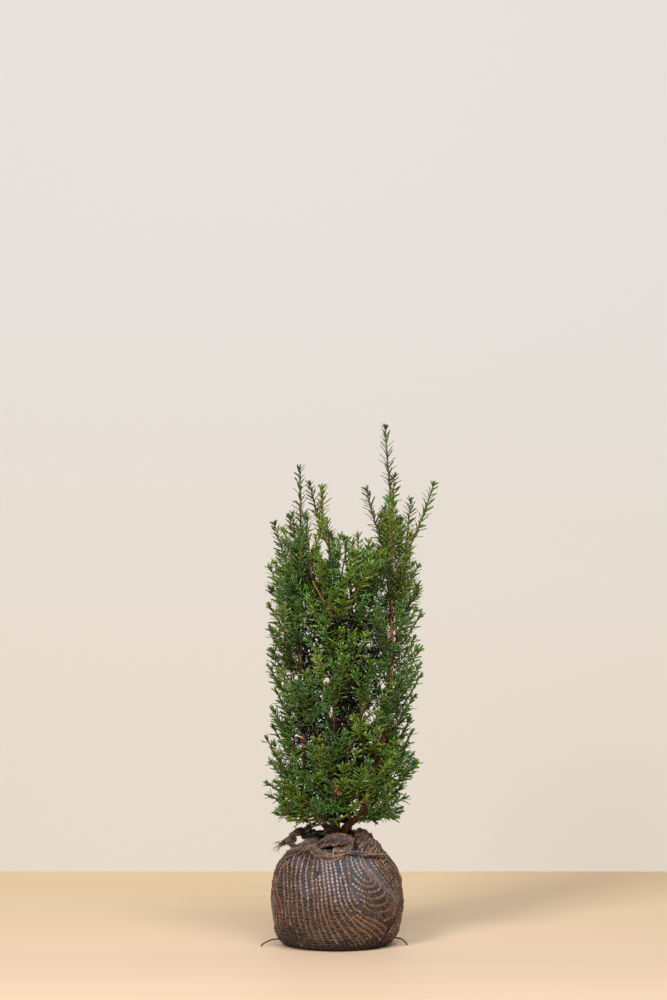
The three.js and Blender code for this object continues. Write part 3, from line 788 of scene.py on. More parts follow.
class Effects:
    """Shader node groups that several finishes share."""

    def __init__(self) -> None:
        """Builds the groups once."""
        self.mottle = self._mottle()
        self.relief = self._relief()
        self.fade = self._fade()

    def _noise(self, graph: Graph, given: bpy.types.NodeOutputs, fineness: dict) -> bpy.types.NodeSocket:
        """Noise in the object's own space.

        Args:
            graph: The group's graph.
            given: The group's inputs, of which Scale and Stretch are used.
            fineness: The noise's detail, and its roughness where that isn't the usual one.

        Returns:
            The socket of its value.
        """
        here = graph.add("TexCoord", {})["Object"]
        drawn = graph.add("VectorMath", {0: here, 1: given["Stretch"]}, operation="MULTIPLY")[0]
        return graph.add("TexNoise", {**fineness, "Vector": drawn, "Scale": given["Scale"]})["Fac"]

    def _mottle(self) -> bpy.types.NodeTree:
        """Makes two colours in soft patches.

        Returns:
            The group.
        """
        graph, given = Graph.group("Mottle", {
            "Dark": (0.1, 0.1, 0.1, 1), "Light": (0.3, 0.3, 0.3, 1), "Scale": 80.0, "Softness": 0.15,
            "Stretch": (1.0, 1.0, 1.0),
        })
        noise = self._noise(graph, given, {"Detail": 5, "Roughness": 0.62})
        low = graph.add("Math", {0: 0.5, 1: given["Softness"]}, operation="SUBTRACT")[0]
        high = graph.add("Math", {0: 0.5, 1: given["Softness"]})[0]
        spread = graph.add("MapRange", {"Value": noise, "From Min": low, "From Max": high})[0]
        return graph.close("Colour", graph.mix(spread, given["Dark"], given["Light"]))

    def _relief(self) -> bpy.types.NodeTree:
        """Makes a fine bumpy normal from noise that can be drawn out along one axis.

        Returns:
            The group.
        """
        graph, given = Graph.group("Relief", {
            "Scale": 900.0, "Strength": 0.4, "Depth": 0.0004, "Stretch": (1.0, 1.0, 1.0),
        })
        noise = self._noise(graph, given, {"Detail": 3})
        inputs = {"Strength": given["Strength"], "Distance": given["Depth"], "Height": noise}
        return graph.close("Normal", graph.add("Bump", inputs)[0])

    def _fade(self) -> bpy.types.NodeTree:
        """Makes two colours that fade into each other along an axis.

        Returns:
            The group.
        """
        graph, given = Graph.group("Fade", {
            "Near": (0.3, 0.3, 0.3, 1), "Far": (0.5, 0.5, 0.5, 1), "Axis": (0.0, 0.0, 1.0),
            "Start": 0.0, "End": 1.0,
        })
        here = graph.add("TexCoord", {})["Object"]
        along = graph.add("VectorMath", {0: here, 1: given["Axis"]}, operation="DOT_PRODUCT")["Value"]
        ends = {"Value": along, "From Min": given["Start"], "From Max": given["End"]}
        spread = graph.add("MapRange", ends, interpolation_type="SMOOTHSTEP")[0]
        return graph.close("Colour", graph.mix(spread, given["Near"], given["Far"]))


def shaded(name: str, inputs: dict) -> tuple[bpy.types.Material, Graph, bpy.types.Node]:
    """A new material with constants set on its shader.

    Args:
        name: The material's name.
        inputs: The constants, by the shader's input names.

    Returns:
        The material, its graph and its shader.
    """
    material = bpy.data.materials.new(name)
    material.use_nodes = True
    graph = Graph(material.node_tree)
    shader = material.node_tree.nodes["Principled BSDF"]
    graph.feed(shader, inputs)
    return material, graph, shader


@dataclass(frozen=True)
class PlainFinish:
    """One base colour with a fine relief: needles, twigs and yarn."""

    colour: str
    roughness: float
    sheen: float = 0.0
    specular: float = 0.5
    relief_scale: float = 1500.0
    relief_depth: float = 0.0002
    relief_strength: float = 0.3

    def material(self, name: str, effects: Effects) -> bpy.types.Material:
        """Makes the material.

        Args:
            name: The material's name.
            effects: The shared shader groups.

        Returns:
            The material.
        """
        material, graph, shader = shaded(name, {
            "Base Color": srgb(self.colour), "Roughness": self.roughness, "Sheen Weight": self.sheen,
            "Specular IOR Level": self.specular,
        })
        relief = {"Scale": self.relief_scale, "Depth": self.relief_depth, "Strength": self.relief_strength}
        graph.feed(shader, {"Normal": graph.add("Group", relief, node_tree=effects.relief)["Normal"]})
        return material


@dataclass(frozen=True)
class MottledFinish:
    """Two colours in patches with a relief: bark, soiled cloth and wire."""

    dark: str
    light: str
    roughness: float
    scale: float = 120.0
    softness: float = 0.16
    stretch: tuple[float, float, float] = (1.0, 1.0, 1.0)
    relief_scale: float = 700.0
    relief_depth: float = 0.0006
    relief_strength: float = 0.6
    metallic: float = 0.0

    def material(self, name: str, effects: Effects) -> bpy.types.Material:
        """Makes the material.

        Args:
            name: The material's name.
            effects: The shared shader groups.

        Returns:
            The material.
        """
        material, graph, shader = shaded(name, {"Roughness": self.roughness, "Metallic": self.metallic})
        patches = {
            "Dark": srgb(self.dark), "Light": srgb(self.light), "Scale": self.scale,
            "Softness": self.softness, "Stretch": self.stretch,
        }
        relief = {
            "Scale": self.relief_scale, "Depth": self.relief_depth, "Strength": self.relief_strength,
            "Stretch": self.stretch,
        }
        graph.feed(shader, {
            "Base Color": graph.add("Group", patches, node_tree=effects.mottle)["Colour"],
            "Normal": graph.add("Group", relief, node_tree=effects.relief)["Normal"],
        })
        return material


@dataclass(frozen=True)
class FadedFinish:
    """A colour that fades into another along an axis, with a faint grain: floor and wall.

    A one-sided surface can't be seen from behind, so the plant's back shows past the wall.
    A glow makes it a lit studio wall, on which the plant's shadow hardly shows.
    """

    near: str
    far: str
    axis: tuple[float, float, float]
    start: float
    end: float
    roughness: float
    grain: float = 0.0
    glow: float = 0.0
    one_sided: bool = False
    grain_dark: tuple[float, float, float, float] = (0.93, 0.90, 0.86, 1)
    grain_light: tuple[float, float, float, float] = (1, 1, 1, 1)
    grain_scale: float = 3.0
    grain_stretch: tuple[float, float, float] = (0.25, 2.5, 1.0)

    def material(self, name: str, effects: Effects) -> bpy.types.Material:
        """Makes the material.

        Args:
            name: The material's name.
            effects: The shared shader groups.

        Returns:
            The material.
        """
        material, graph, shader = shaded(name, {"Roughness": self.roughness, "Emission Strength": self.glow})
        ends = {
            "Near": srgb(self.near), "Far": srgb(self.far), "Axis": self.axis, "Start": self.start,
            "End": self.end,
        }
        streaks = {
            "Dark": self.grain_dark, "Light": self.grain_light, "Scale": self.grain_scale,
            "Stretch": self.grain_stretch,
        }
        fade = graph.add("Group", ends, node_tree=effects.fade)["Colour"]
        grain = graph.add("Group", streaks, node_tree=effects.mottle)["Colour"]
        base = graph.mix(self.grain, fade, grain, "MULTIPLY")
        graph.feed(shader, {"Base Color": base, "Emission Color": fade})
        if self.one_sided:
            back = graph.add("NewGeometry", {})["Backfacing"]
            graph.feed(shader, {"Alpha": graph.add("Math", {0: 1.0, 1: back}, operation="SUBTRACT")[0]})
        return material


class Tone(Enum):
    """Needle colours: the upper face and the paler underside. DIM and SHADE are darker greens that paint
    shade.
    """

    BRIGHT = ("5c701a", "647426")
    YOUNG = ("5e720a", "687818")
    FRESH = ("52700a", "5e7818")
    DEEP = ("3a600a", "487018")
    # Painted shade: a darker green dealt to part of the leaders and a few grown shoots
    DIM = ("264208", "304e12")
    # Painted shade: near-black needles for shoots deep inside the crown, where shade falls
    SHADE = ("081003", "0e1606")
    BLUE = ("366222", "507834")
    DEAD = ("7c4826", "8c5c38")


class Age(Enum):
    """Habits of growth: a leader, a body mass, a spur on a limb and a dead sprig."""

    YOUNG = "young"
    GROWN = "grown"
    SPUR = "spur"
    DEAD = "dead"


@dataclass(frozen=True)
class Habit:
    """How a shoot bears its needles.

    The angle is from the shoot in radians, flatness says how far the needles part
    into two ranks. Bare is the share of the shoot without needles, and tip is the
    length of the last needles as a share of the others. Width is a factor.
    """

    angle: float
    flatness: float
    length: float
    pitch: float
    bare: float
    tip: float
    width: float = 1.0


HABITS = {
    Age.YOUNG: Habit(angle=0.80, flatness=0.25, length=0.0202, pitch=0.0022, bare=0.02, tip=0.58, width=1.15),
    Age.GROWN: Habit(angle=0.98, flatness=0.85, length=0.0210, pitch=0.0030, bare=0.06, tip=0.72, width=1.28),
    Age.SPUR: Habit(angle=0.96, flatness=0.80, length=0.0205, pitch=0.0030, bare=0.08, tip=0.74, width=1.28),
    Age.DEAD: Habit(angle=1.05, flatness=0.90, length=0.0120, pitch=0.0045, bare=0.30, tip=0.60),
}


@dataclass
class Shoot:
    """A leafy shoot: its line, the side that faces up, its age, rank and twig.

    The node is the solid that it stands for, if any, and a twig of radius zero
    isn't built, as a limb takes its place.
    """

    line: np.ndarray
    up: np.ndarray
    age: Age
    rank: int
    radius: float
    node: str = ""
    length: float = field(init=False)

    def __post_init__(self) -> None:
        """Measures the line."""
        self.length = float(np.linalg.norm(np.diff(self.line, axis=0), axis=1).sum())


@dataclass(frozen=True)
class Branching:
    """How an axis bears its side shoots.

    The span is the stretch of the axis that bears them, and the curl is how far they
    rise by their ends, as a share of their length. The angle is from the axis.
    """

    count: int
    span: tuple[float, float]
    reach: float
    curl: float
    angle: float


BRANCHING = {
    Age.YOUNG: Branching(count=8, span=(0.02, 0.62), reach=0.095, curl=0.70, angle=0.48),
    Age.GROWN: Branching(count=15, span=(0.12, 0.90), reach=0.098, curl=0.30, angle=0.66),
}


@dataclass
class Growth:
    """The plant's limbs and shoots, grown by the seeded rule.

    An axis bears side shoots, and they bear twins. Spurs stand on the limbs, and fill
    shoots wherever there is room left. Spacings are the least distances to the tips
    and middles of other shoots.
    """

    crown: Crown
    stations: int = 7
    axis_stations: int = 19
    tip_room: float = 0.006
    axis_radius: float = 0.0019
    side_radius: float = 0.0012
    twin_radius: float = 0.0009
    extra_count: int = 5
    shortest: float = 0.018
    shortened: tuple[float, ...] = (1.0, 0.8, 0.62, 0.45)
    slack_power: float = 1.5
    tip_spacing: float = 0.0168
    middle_spacing: float = 0.55
    outward_lean: float = 2.0
    twin_least: float = 0.034
    twin_shares: tuple[float, float] = (0.26, 0.50)
    twin_angle: float = 0.74
    twin_angle_spread: tuple[float, float] = (0.85, 1.15)
    twin_length: tuple[float, float] = (0.55, 0.85)
    twin_taper: float = 0.4
    twin_shortest: float = 0.022
    twin_lift: tuple[float, float] = (-0.2, 0.35)
    clothed: float = 0.62
    spur_first: int = 3
    spur_spacing: float = 0.0100
    spur_jitter: float = 0.5
    spur_turn_jitter: float = 0.1
    spur_length: tuple[float, float] = (0.046, 0.086)
    spur_angle: tuple[float, float] = (0.45, 0.90)
    spur_curl: float = 0.32
    fill_tries: int = 6000
    fill_length: tuple[float, float] = (0.034, 0.060)
    fill_angle: tuple[float, float] = (0.45, 0.85)
    fill_spacing: float = 0.0194
    fill_least_out: float = 0.52
    fill_top: float = 0.600
    slack_seed: int = 7
    top_seed: int = 101
    low_seed: int = 151
    edge_seed: int = 201
    spur_seed: int = 301
    fill_seed: int = 401
    limbs: dict[str, Limb] = field(init=False)
    shoots: list[Shoot] = field(init=False, default_factory=list)
    taken: np.ndarray = field(init=False)
    slack: np.random.Generator = field(init=False)

    def __post_init__(self) -> None:
        """Grows limbs, masses, single shoots, spurs, fill shoots and dead sprigs, in that order."""
        self.limbs = self._limbs()
        self.taken = np.empty((0, 3))
        self.slack = np.random.default_rng(self.slack_seed)
        masses = {**LEADERS, **self._body_sites()}
        for index, (name, site) in enumerate(masses.items()):
            age = Age.YOUNG if name in LEADERS else Age.GROWN
            self._grow_mass(site, age, BRANCHING[age].count, index + 1, name)
        edge_sites = [self._limb_below(np.array(tip)) for tip in EDGE_TIPS]
        kinds = (
            (TOP_SHOOTS, Age.YOUNG, self.top_seed), (LOW_SHOOTS, Age.GROWN, self.low_seed),
            (edge_sites, Age.GROWN, self.edge_seed),
        )
        for sites, age, seed in kinds:
            for index, site in enumerate(sites):
                self._grow_mass(site, age, self.extra_count, seed + index)
        for index, limb in enumerate(self.limbs.values()):
            self._clothe(limb)
            self._grow_spurs(limb, self.spur_seed + index)
        self._fill()
        for foot, end in DEAD_SPRIGS:
            line = lerp(np.array(foot), np.array(end), np.linspace(0, 1, self.stations)[:, None])
            self._add(line, Age.DEAD, 2, self.twin_radius)

    def _limbs(self) -> dict[str, Limb]:
        """Stems from the trunk, then boughs from the stems.

        Returns:
            The limbs by name.
        """
        limbs = {name: Limb(Spline(plan.route), plan.foot, plan.tip) for name, plan in STEMS.items()}
        for name, site in BOUGHS.items():
            bend = Bend(limbs[site.on].branch_foot(site.at), np.array(site.end))
            route = bend.at(np.linspace(0, 1, BOUGH_STRETCHES + 1))
            limbs[name] = Limb(Spline(route), site.foot, site.tip)
        return limbs

    def _limb_below(self, end: np.ndarray) -> Site:
        """Finds the best place on a limb for a mass that reaches a point.

        Args:
            end: The point.

        Returns:
            The site, which is near the point and lies the right way below it.
        """
        best, least = None, math.inf
        for name, limb in self.limbs.items():
            lowest = max(limb.samples[0][2] + OFF_LIMB_FOOT, BODY_LOWEST_FOOT - FOOT_SLACK)
            highest = limb.samples[-1][2] - OFF_LIMB_TIP
            for point in limb.samples:
                if not lowest < point[2] < highest:
                    continue
                spread = math.hypot(*(point[:2] - end[:2]))
                rise = min(BODY_RISE * spread, end[2] - BODY_LOWEST_FOOT)
                cost = spread + RISE_WEIGHT * abs(end[2] - point[2] - rise)
                if cost < least:
                    best, least = Site(name, float(point[2]), tuple(end)), cost
        return best

    def _body_sites(self) -> dict[str, Site]:
        """Spreads tips over the crown's outline.

        Returns:
            Each tip's site on its limb, by the mass's name.
        """
        sites = {}
        for i in range(BODY_COUNT):
            turn = TAU * (BODY_FIRST_TURN + GOLDEN_TURN * i)
            height = lerp(BODY_LOWEST_TIP, BODY_HIGHEST_TIP, i / (BODY_COUNT - 1))
            side, depth = self.crown.halves(np.array([math.cos(turn), 0.0, height]))
            end = np.array([side * math.cos(turn) * TIP_INSET, depth * math.sin(turn) * TIP_INSET, height])
            sites[f"foliage_{i + 1:02d}"] = self._limb_below(end)
        return sites

    def _fitted(
        self, start: np.ndarray, heading: np.ndarray, length: float, curl: float, spacing: float
    ) -> np.ndarray | None:
        """A shoot's line that stays in the crown and off other tips, or nothing.

        Args:
            start: Where the shoot leaves its twig.
            heading: Its direction there.
            length: The length wanted, which is cut where the crown ends.
            curl: How far it rises by its end, as a share of the length.
            spacing: The least distance to another shoot's tip.

        Returns:
            The line's stations, or None.
        """
        along = np.linspace(0, 1, self.stations)[:, None]
        slack = self.slack.random() ** self.slack_power
        for share in self.shortened:
            reach = length * share
            if reach < self.shortest:
                return None
            line = start + heading * along * reach + UP * (curl * reach * along ** 2)
            if not self.crown.holds(line[1:], slack) or self.crown.blocks_view(line[-2:]).any():
                continue
            middle = line[self.stations // 2]
            if self._is_free(line[-1], spacing) and self._is_free(middle, spacing * self.middle_spacing):
                return line
        return None

    def _is_free(self, point: np.ndarray, spacing: float) -> bool:
        """Whether no other shoot's outer half comes nearer to a point than a distance."""
        return bool(np.all(np.sum((self.taken - point) ** 2, axis=1) > spacing ** 2))

    def _add(self, line: np.ndarray, age: Age, rank: int, radius: float, node: str = "") -> Shoot:
        """Keeps a shoot, whose upper side faces up and away from the middle.

        Args:
            line: Its stations.
            age: Its habit of growth.
            rank: 0 for an axis, 1 for a side shoot and 2 for a twin.
            radius: Its twig's radius at the foot, or zero for no twig.
            node: The solid that it stands for.

        Returns:
            The shoot.
        """
        heading = unit(line[-1] - line[0])
        outward = line[-1] * LEVEL
        across = unit(np.cross(heading, UP + self.outward_lean * outward))
        shoot = Shoot(line, np.cross(across, heading), age, rank, radius, node)
        self.shoots.append(shoot)
        half = len(line) // 2
        self.taken = np.vstack([self.taken, line[[half, half * 3 // 2, -1]]])
        return shoot

    def _leaving(self, along: np.ndarray, beside: np.ndarray, turn: float, angle: float) -> np.ndarray:
        """The heading at an angle from a twig's own, turned round it from a direction beside it."""
        side = unit(np.cross(along, beside))
        return turned(along, turned(side, np.cross(along, side), turn), angle)

    def _grow_mass(self, site: Site, age: Age, count: int, seed: int, node: str = "") -> None:
        """Axis, side shoots and their twins of one mass.

        Args:
            site: Where the axis starts and ends.
            age: The habit of growth.
            count: How many side shoots are tried.
            seed: Seed of the draws.
            node: The solid that the mass stands for.
        """
        axis = Bend(self.limbs[site.on].branch_foot(site.at), np.array(site.end))
        top = 1 - self.tip_room / axis.lengths[-1]
        self._add(axis.points(np.linspace(0, top, self.axis_stations)), age, 0, self.axis_radius, node)
        chance = Chance(seed)
        plan = BRANCHING[age]
        for i in range(count):
            share = lerp(*plan.span, (i * GOLDEN_SHARE) % 1)
            turn = TAU * (GOLDEN_TURN * i + SIDE_TURN_SPREAD * chance.next())
            angle = plan.angle * chance.between(1 - SIDE_ANGLE_SPREAD, 1 + SIDE_ANGLE_SPREAD)
            heading = self._leaving(axis.heading(share), UP, turn, angle)
            heading[2] += SIDE_LIFT * chance.next()
            reach = plan.reach * (1 - SIDE_TAPER * share) * chance.between(*SIDE_LENGTHS)
            # The rule draws the roll of a flat shoot here, which these shoots don't need
            chance.next()
            self._grow_side(axis.point(share), unit(heading), reach, age, node, chance)

    def _grow_side(
        self, start: np.ndarray, heading: np.ndarray, reach: float, age: Age, node: str, chance: Chance
    ) -> None:
        """A side shoot, and the twins that leave it to the left and right.

        Args:
            start: Where it leaves the axis.
            heading: Its direction there.
            reach: Its length, if there is room.
            age: The habit of growth.
            node: The solid that it stands for.
            chance: The mass's draws.
        """
        curl = BRANCHING[age].curl
        line = self._fitted(start, heading, reach, curl, self.tip_spacing)
        if line is None:
            return
        shoot = self._add(line, age, 1, self.side_radius, node)
        if shoot.length < self.twin_least:
            return
        across = unit(np.cross(heading, shoot.up))
        for sign, share in zip((-1, 1), self.twin_shares):
            angle = self.twin_angle * chance.between(*self.twin_angle_spread)
            course = turned(heading, across * sign, angle)
            length = shoot.length * chance.between(*self.twin_length) * (1 - self.twin_taper * share)
            station = share * (self.stations - 1)
            root = lerp(line[int(station)], line[int(station) + 1], station % 1)
            course = unit(course + shoot.up * chance.between(*self.twin_lift))
            twin = self._fitted(root, course, max(length, self.twin_shortest), curl, self.tip_spacing)
            if twin is not None:
                self._add(twin, age, 2, self.twin_radius, node)

    def _clothe(self, limb: Limb) -> None:
        """Needles that stand on a limb's own young end."""
        self._add(limb.curve.points(np.linspace(self.clothed, 1, self.axis_stations)), Age.YOUNG, 0, 0.0)

    def _grow_spurs(self, limb: Limb, seed: int) -> None:
        """Short leafy shoots that leave a limb by the golden angle.

        Args:
            limb: The limb.
            seed: Seed of the draws.
        """
        chance = Chance(seed)
        count = int(limb.curve.lengths[-1] / self.spur_spacing)
        for i in range(self.spur_first, count):
            share = (i + self.spur_jitter * chance.next()) / count
            turn = TAU * (GOLDEN_TURN * i + self.spur_turn_jitter * chance.next())
            angle = chance.between(*self.spur_angle)
            heading = self._leaving(limb.curve.heading(share), BESIDE, turn, angle)
            length = chance.between(*self.spur_length)
            line = self._fitted(limb.curve.point(share), heading, length, self.spur_curl, self.tip_spacing)
            if line is not None:
                self._add(line, Age.SPUR, 1, self.side_radius)

    def _fill(self) -> None:
        """Short shoots wherever the crown still has room for one."""
        rng = np.random.default_rng(self.fill_seed)
        parents = [shoot for shoot in self.shoots if shoot.rank < 2]
        for _ in range(self.fill_tries):
            parent = parents[rng.integers(len(parents))]
            station = rng.integers(1, len(parent.line) - 1)
            start = parent.line[station]
            if self.crown.share_out(start) < self.fill_least_out or start[2] > self.fill_top:
                continue
            along = unit(parent.line[station + 1] - start)
            heading = self._leaving(along, BESIDE, rng.uniform(0, TAU), rng.uniform(*self.fill_angle))
            length = rng.uniform(*self.fill_length)
            line = self._fitted(start, heading, length, self.spur_curl, self.fill_spacing)
            if line is not None:
                self._add(line, Age.SPUR, 2, self.twin_radius)


@dataclass
class Needles:
    """All the needles, as closed blades with a ridge above and a keel below.

    The rings are two sections of a blade: the share of its length, and the width as
    a share of the whole. Each shoot ends in a rosette of needles within the tip zone.
    A needle faces out, up and its twig by the three facing weights.
    """

    growth: Growth
    crown: Crown
    rings: tuple[tuple[float, float], ...] = ((0.16, 0.90), (0.80, 0.84))
    ridge: float = 0.45
    keel: float = 0.40
    half_width: float = 0.00134
    width_spread: tuple[float, float] = (0.88, 1.12)
    length_spread: tuple[float, float] = (0.84, 1.08)
    droop: float = -0.09
    droop_spread: float = 0.07
    axis_bare: float = 0.14
    least_row: int = 5
    row_jitter: float = 0.8
    turn_spread: float = 0.25
    ranking: float = 0.9
    foot_angle: float = 1.05
    angle_drop: float = 0.25
    angle_spread: float = 0.13
    facing_out: float = 0.9
    facing_up: float = 0.45
    facing_twig: float = 0.55
    facing_spread: float = 0.35
    in_windows: float = 0.10
    judged_at: float = 0.6
    tip_zone: float = 0.030
    rosette: int = 7
    rosette_depth: float = 0.004
    rosette_angle: tuple[float, float] = (0.15, 1.05)
    waist: float = 0.430
    waist_reach: float = 0.22
    waist_core: float = 0.45
    # Painted shade: below shade_top, shoots nearer the middle than these shares of the crown's reach take the
    # SHADE tone, more of them at the waist
    shade_top: float = 0.56
    shade_at_waist: float = 0.58
    shade_elsewhere: float = 0.50
    most_in_piece: int = 11500
    relief_scale: float = 600
    relief_depth: float = 0.0001
    rng: np.random.Generator = field(init=False)

    CORNERS = 4
    POINTS = 2 * CORNERS + 2
    SEED = 41

    # Shares of grown shoots by tone: at the waist, and added at the waist's reach
    YOUNG_SHARE = (0.05, 0.11)
    FRESH_SHARE = (0.22, 0.28)
    DEEP_BELOW = 0.66
    # Draws above DIM_ABOVE take the DIM tone, which paints shade
    DIM_ABOVE = 0.90
    BRIGHT_BELOW = 0.12
    LEADER_TONES = (Tone.YOUNG, Tone.FRESH, Tone.DIM, Tone.DEEP, Tone.DIM)
    LEADER_SHUFFLE = 97

    def __post_init__(self) -> None:
        """Starts the draws."""
        self.rng = np.random.default_rng(self.SEED)

    def _tone(self, shoot: Shoot) -> Tone:
        """Picks a shoot's colour by its age, height and place in the crown, with painted shade deep inside
        it.

        Args:
            shoot: The shoot.

        Returns:
            Its tone.
        """
        draw = self.rng.random()
        middle = shoot.line[len(shoot.line) // 2]
        if shoot.age is Age.DEAD:
            return Tone.DEAD
        off_waist = abs(middle[2] - self.waist) / self.waist_reach
        # Painted shade: shoots deep inside the crown take the near-black SHADE tone instead of the shade that
        # falls there
        shaded_out = self.shade_at_waist if off_waist < self.waist_core else self.shade_elsewhere
        if self.crown.share_out(middle) < shaded_out and middle[2] < self.shade_top:
            return Tone.SHADE
        if shoot.age is Age.YOUNG:
            if draw < self.BRIGHT_BELOW:
                return Tone.BRIGHT
            # DIM among the leaders' tones paints the shade on part of the leaders
            return self.LEADER_TONES[int(draw * self.LEADER_SHUFFLE) % len(self.LEADER_TONES)]
        young, fresh = (low + rise * off_waist for low, rise in (self.YOUNG_SHARE, self.FRESH_SHARE))
        if draw < fresh:
            return Tone.YOUNG if draw < young else Tone.FRESH
        # DIM paints shade on a few grown shoots
        if draw > self.DIM_ABOVE:
            return Tone.DIM
        return Tone.DEEP if draw < self.DEEP_BELOW else Tone.BLUE

    def _shares(self, shoot: Shoot) -> np.ndarray:
        """Where along a shoot its needles stand: in a row, then in the rosette at its end.

        Args:
            shoot: The shoot.

        Returns:
            Shares of its length, one for each needle.
        """
        habit = HABITS[shoot.age]
        bare = habit.bare if shoot.rank else self.axis_bare
        row = max(self.least_row, int(shoot.length * (1 - bare) / habit.pitch))
        share = bare + (1 - bare) * (np.arange(row) + self.rng.uniform(0, self.row_jitter, row)) / row
        rosette = 1 - self.rng.uniform(0, self.rosette_depth, self.rosette) / shoot.length
        return np.minimum(np.concatenate([share, rosette]), 1.0)

    def _on_shoot(self, shoot: Shoot) -> tuple[np.ndarray, ...]:
        """Where a shoot's needles stand.

        Args:
            shoot: The shoot.

        Returns:
            Roots, directions, upper faces, lengths and half widths, one row a needle.
        """
        habit = HABITS[shoot.age]
        stations = walked(shoot.line) / shoot.length
        share = self._shares(shoot)
        count = len(share)
        roots = resampled(share, stations, shoot.line)
        middles = (stations[1:] + stations[:-1]) / 2
        along = unit(resampled(share, middles, unit(np.diff(shoot.line, axis=0))))
        across = unit(np.cross(along, shoot.up))
        up = np.cross(across, along)
        turn = TAU * GOLDEN_TURN * np.arange(count) + self.rng.normal(0, self.turn_spread, count)
        turn -= habit.flatness * np.sin(2 * turn) * self.ranking
        out = across * np.cos(turn)[:, None] + up * np.sin(turn)[:, None]
        end = np.clip(1 - (1 - share) * shoot.length / self.tip_zone, 0, 1)
        angle = habit.angle * (self.foot_angle - self.angle_drop * end)
        angle = angle + self.rng.normal(0, self.angle_spread, count)
        angle[-self.rosette:] = self.rng.uniform(*self.rosette_angle, self.rosette)
        course = along * np.cos(angle)[:, None] + out * np.sin(angle)[:, None]
        light = unit(roots * LEVEL) * self.facing_out + UP * self.facing_up
        face = (along * np.sin(angle)[:, None] - out * np.cos(angle)[:, None]) * self.facing_twig
        face = face + light + self.rng.normal(0, self.facing_spread, (count, 3))
        face = unit(face - course * (face * course).sum(-1, keepdims=True))
        lengths = habit.length * (1 - (1 - habit.tip) * end) * self.rng.uniform(*self.length_spread, count)
        keep = ~self.crown.blocks_view(roots + course * lengths[:, None] * self.judged_at)
        keep |= self.rng.random(count) < self.in_windows
        halves = self.half_width * habit.width * self.rng.uniform(*self.width_spread, count)
        return roots[keep], course[keep], face[keep], lengths[keep], halves[keep]

    def _blades(
        self, roots: np.ndarray, course: np.ndarray, face: np.ndarray, lengths: np.ndarray, half: np.ndarray
    ) -> tuple[np.ndarray, np.ndarray]:
        """Closed blades.

        Args:
            roots: Their roots.
            course: Their directions.
            face: The directions that their upper faces look in.
            lengths: Their lengths.
            half: Their half widths.

        Returns:
            Vertices as (needles, points, 3) and triangles as (needles, faces, 3).
        """
        count = len(roots)
        across = np.cross(course, face)
        bend = face * (self.rng.normal(self.droop, self.droop_spread, count) * lengths)[:, None]
        points = [roots]
        for share, width in self.rings:
            middle = roots + course * (lengths * share)[:, None] + bend * share ** 2
            wide = across * (half * width)[:, None]
            high = face * (half * width)[:, None]
            points += [middle + wide, middle + high * self.ridge, middle - wide, middle - high * self.keel]
        points.append(roots + course * lengths[:, None] + bend)
        triangles = []
        for k in range(self.CORNERS):
            here, there = 1 + k, 1 + (k + 1) % self.CORNERS
            above, beyond = here + self.CORNERS, there + self.CORNERS
            triangles += [(0, there, here), (here, there, beyond), (here, beyond, above)]
            triangles.append((above, beyond, self.POINTS - 1))
        offsets = np.arange(count)[:, None, None] * self.POINTS
        return np.stack(points, axis=1), np.array(triangles)[None] + offsets

    def _materials(self, tone: Tone, effects: Effects) -> list[bpy.types.Material]:
        """The glossy upper face and the pale underside of a tone's needles.

        Args:
            tone: The tone.
            effects: The shared shader groups.

        Returns:
            Both materials.
        """
        name = f"needle_{tone.name.lower()}"
        upper, lower = tone.value
        relief = {"relief_scale": self.relief_scale, "relief_depth": self.relief_depth}
        glossy = PlainFinish(upper, roughness=0.18, specular=0.75, **relief)
        pale = PlainFinish(lower, roughness=0.55, **relief)
        return [glossy.material(name, effects), pale.material(f"{name}_underside", effects)]

    def build(self, effects: Effects) -> None:
        """Joins the needles of each tone into pieces and dresses them.

        Args:
            effects: The shared shader groups.
        """
        faces = np.repeat([0, 1], 2 * self.CORNERS)
        shoots: dict[Tone, list[Shoot]] = {tone: [] for tone in Tone}
        for shoot in self.growth.shoots:
            shoots[self._tone(shoot)].append(shoot)
        for tone in Tone:
            materials = self._materials(tone, effects)
            batches = [MeshBatch()]
            nodes: set[str] = set()
            for shoot in shoots[tone]:
                if batches[-1].count > self.most_in_piece * self.POINTS:
                    batches.append(MeshBatch())
                vertices, triangles = self._blades(*self._on_shoot(shoot))
                batches[-1].add(vertices, triangles, np.tile(faces, len(vertices)))
                nodes.add(shoot.node)
            slot = "young_needles" if tone in (Tone.BRIGHT, Tone.YOUNG) else "needles"
            for number, batch in enumerate(batches):
                piece = batch.build(f"needles_{tone.name.lower()}_{number + 1}", materials, slot)
                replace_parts(piece, *sorted(nodes - {""}))


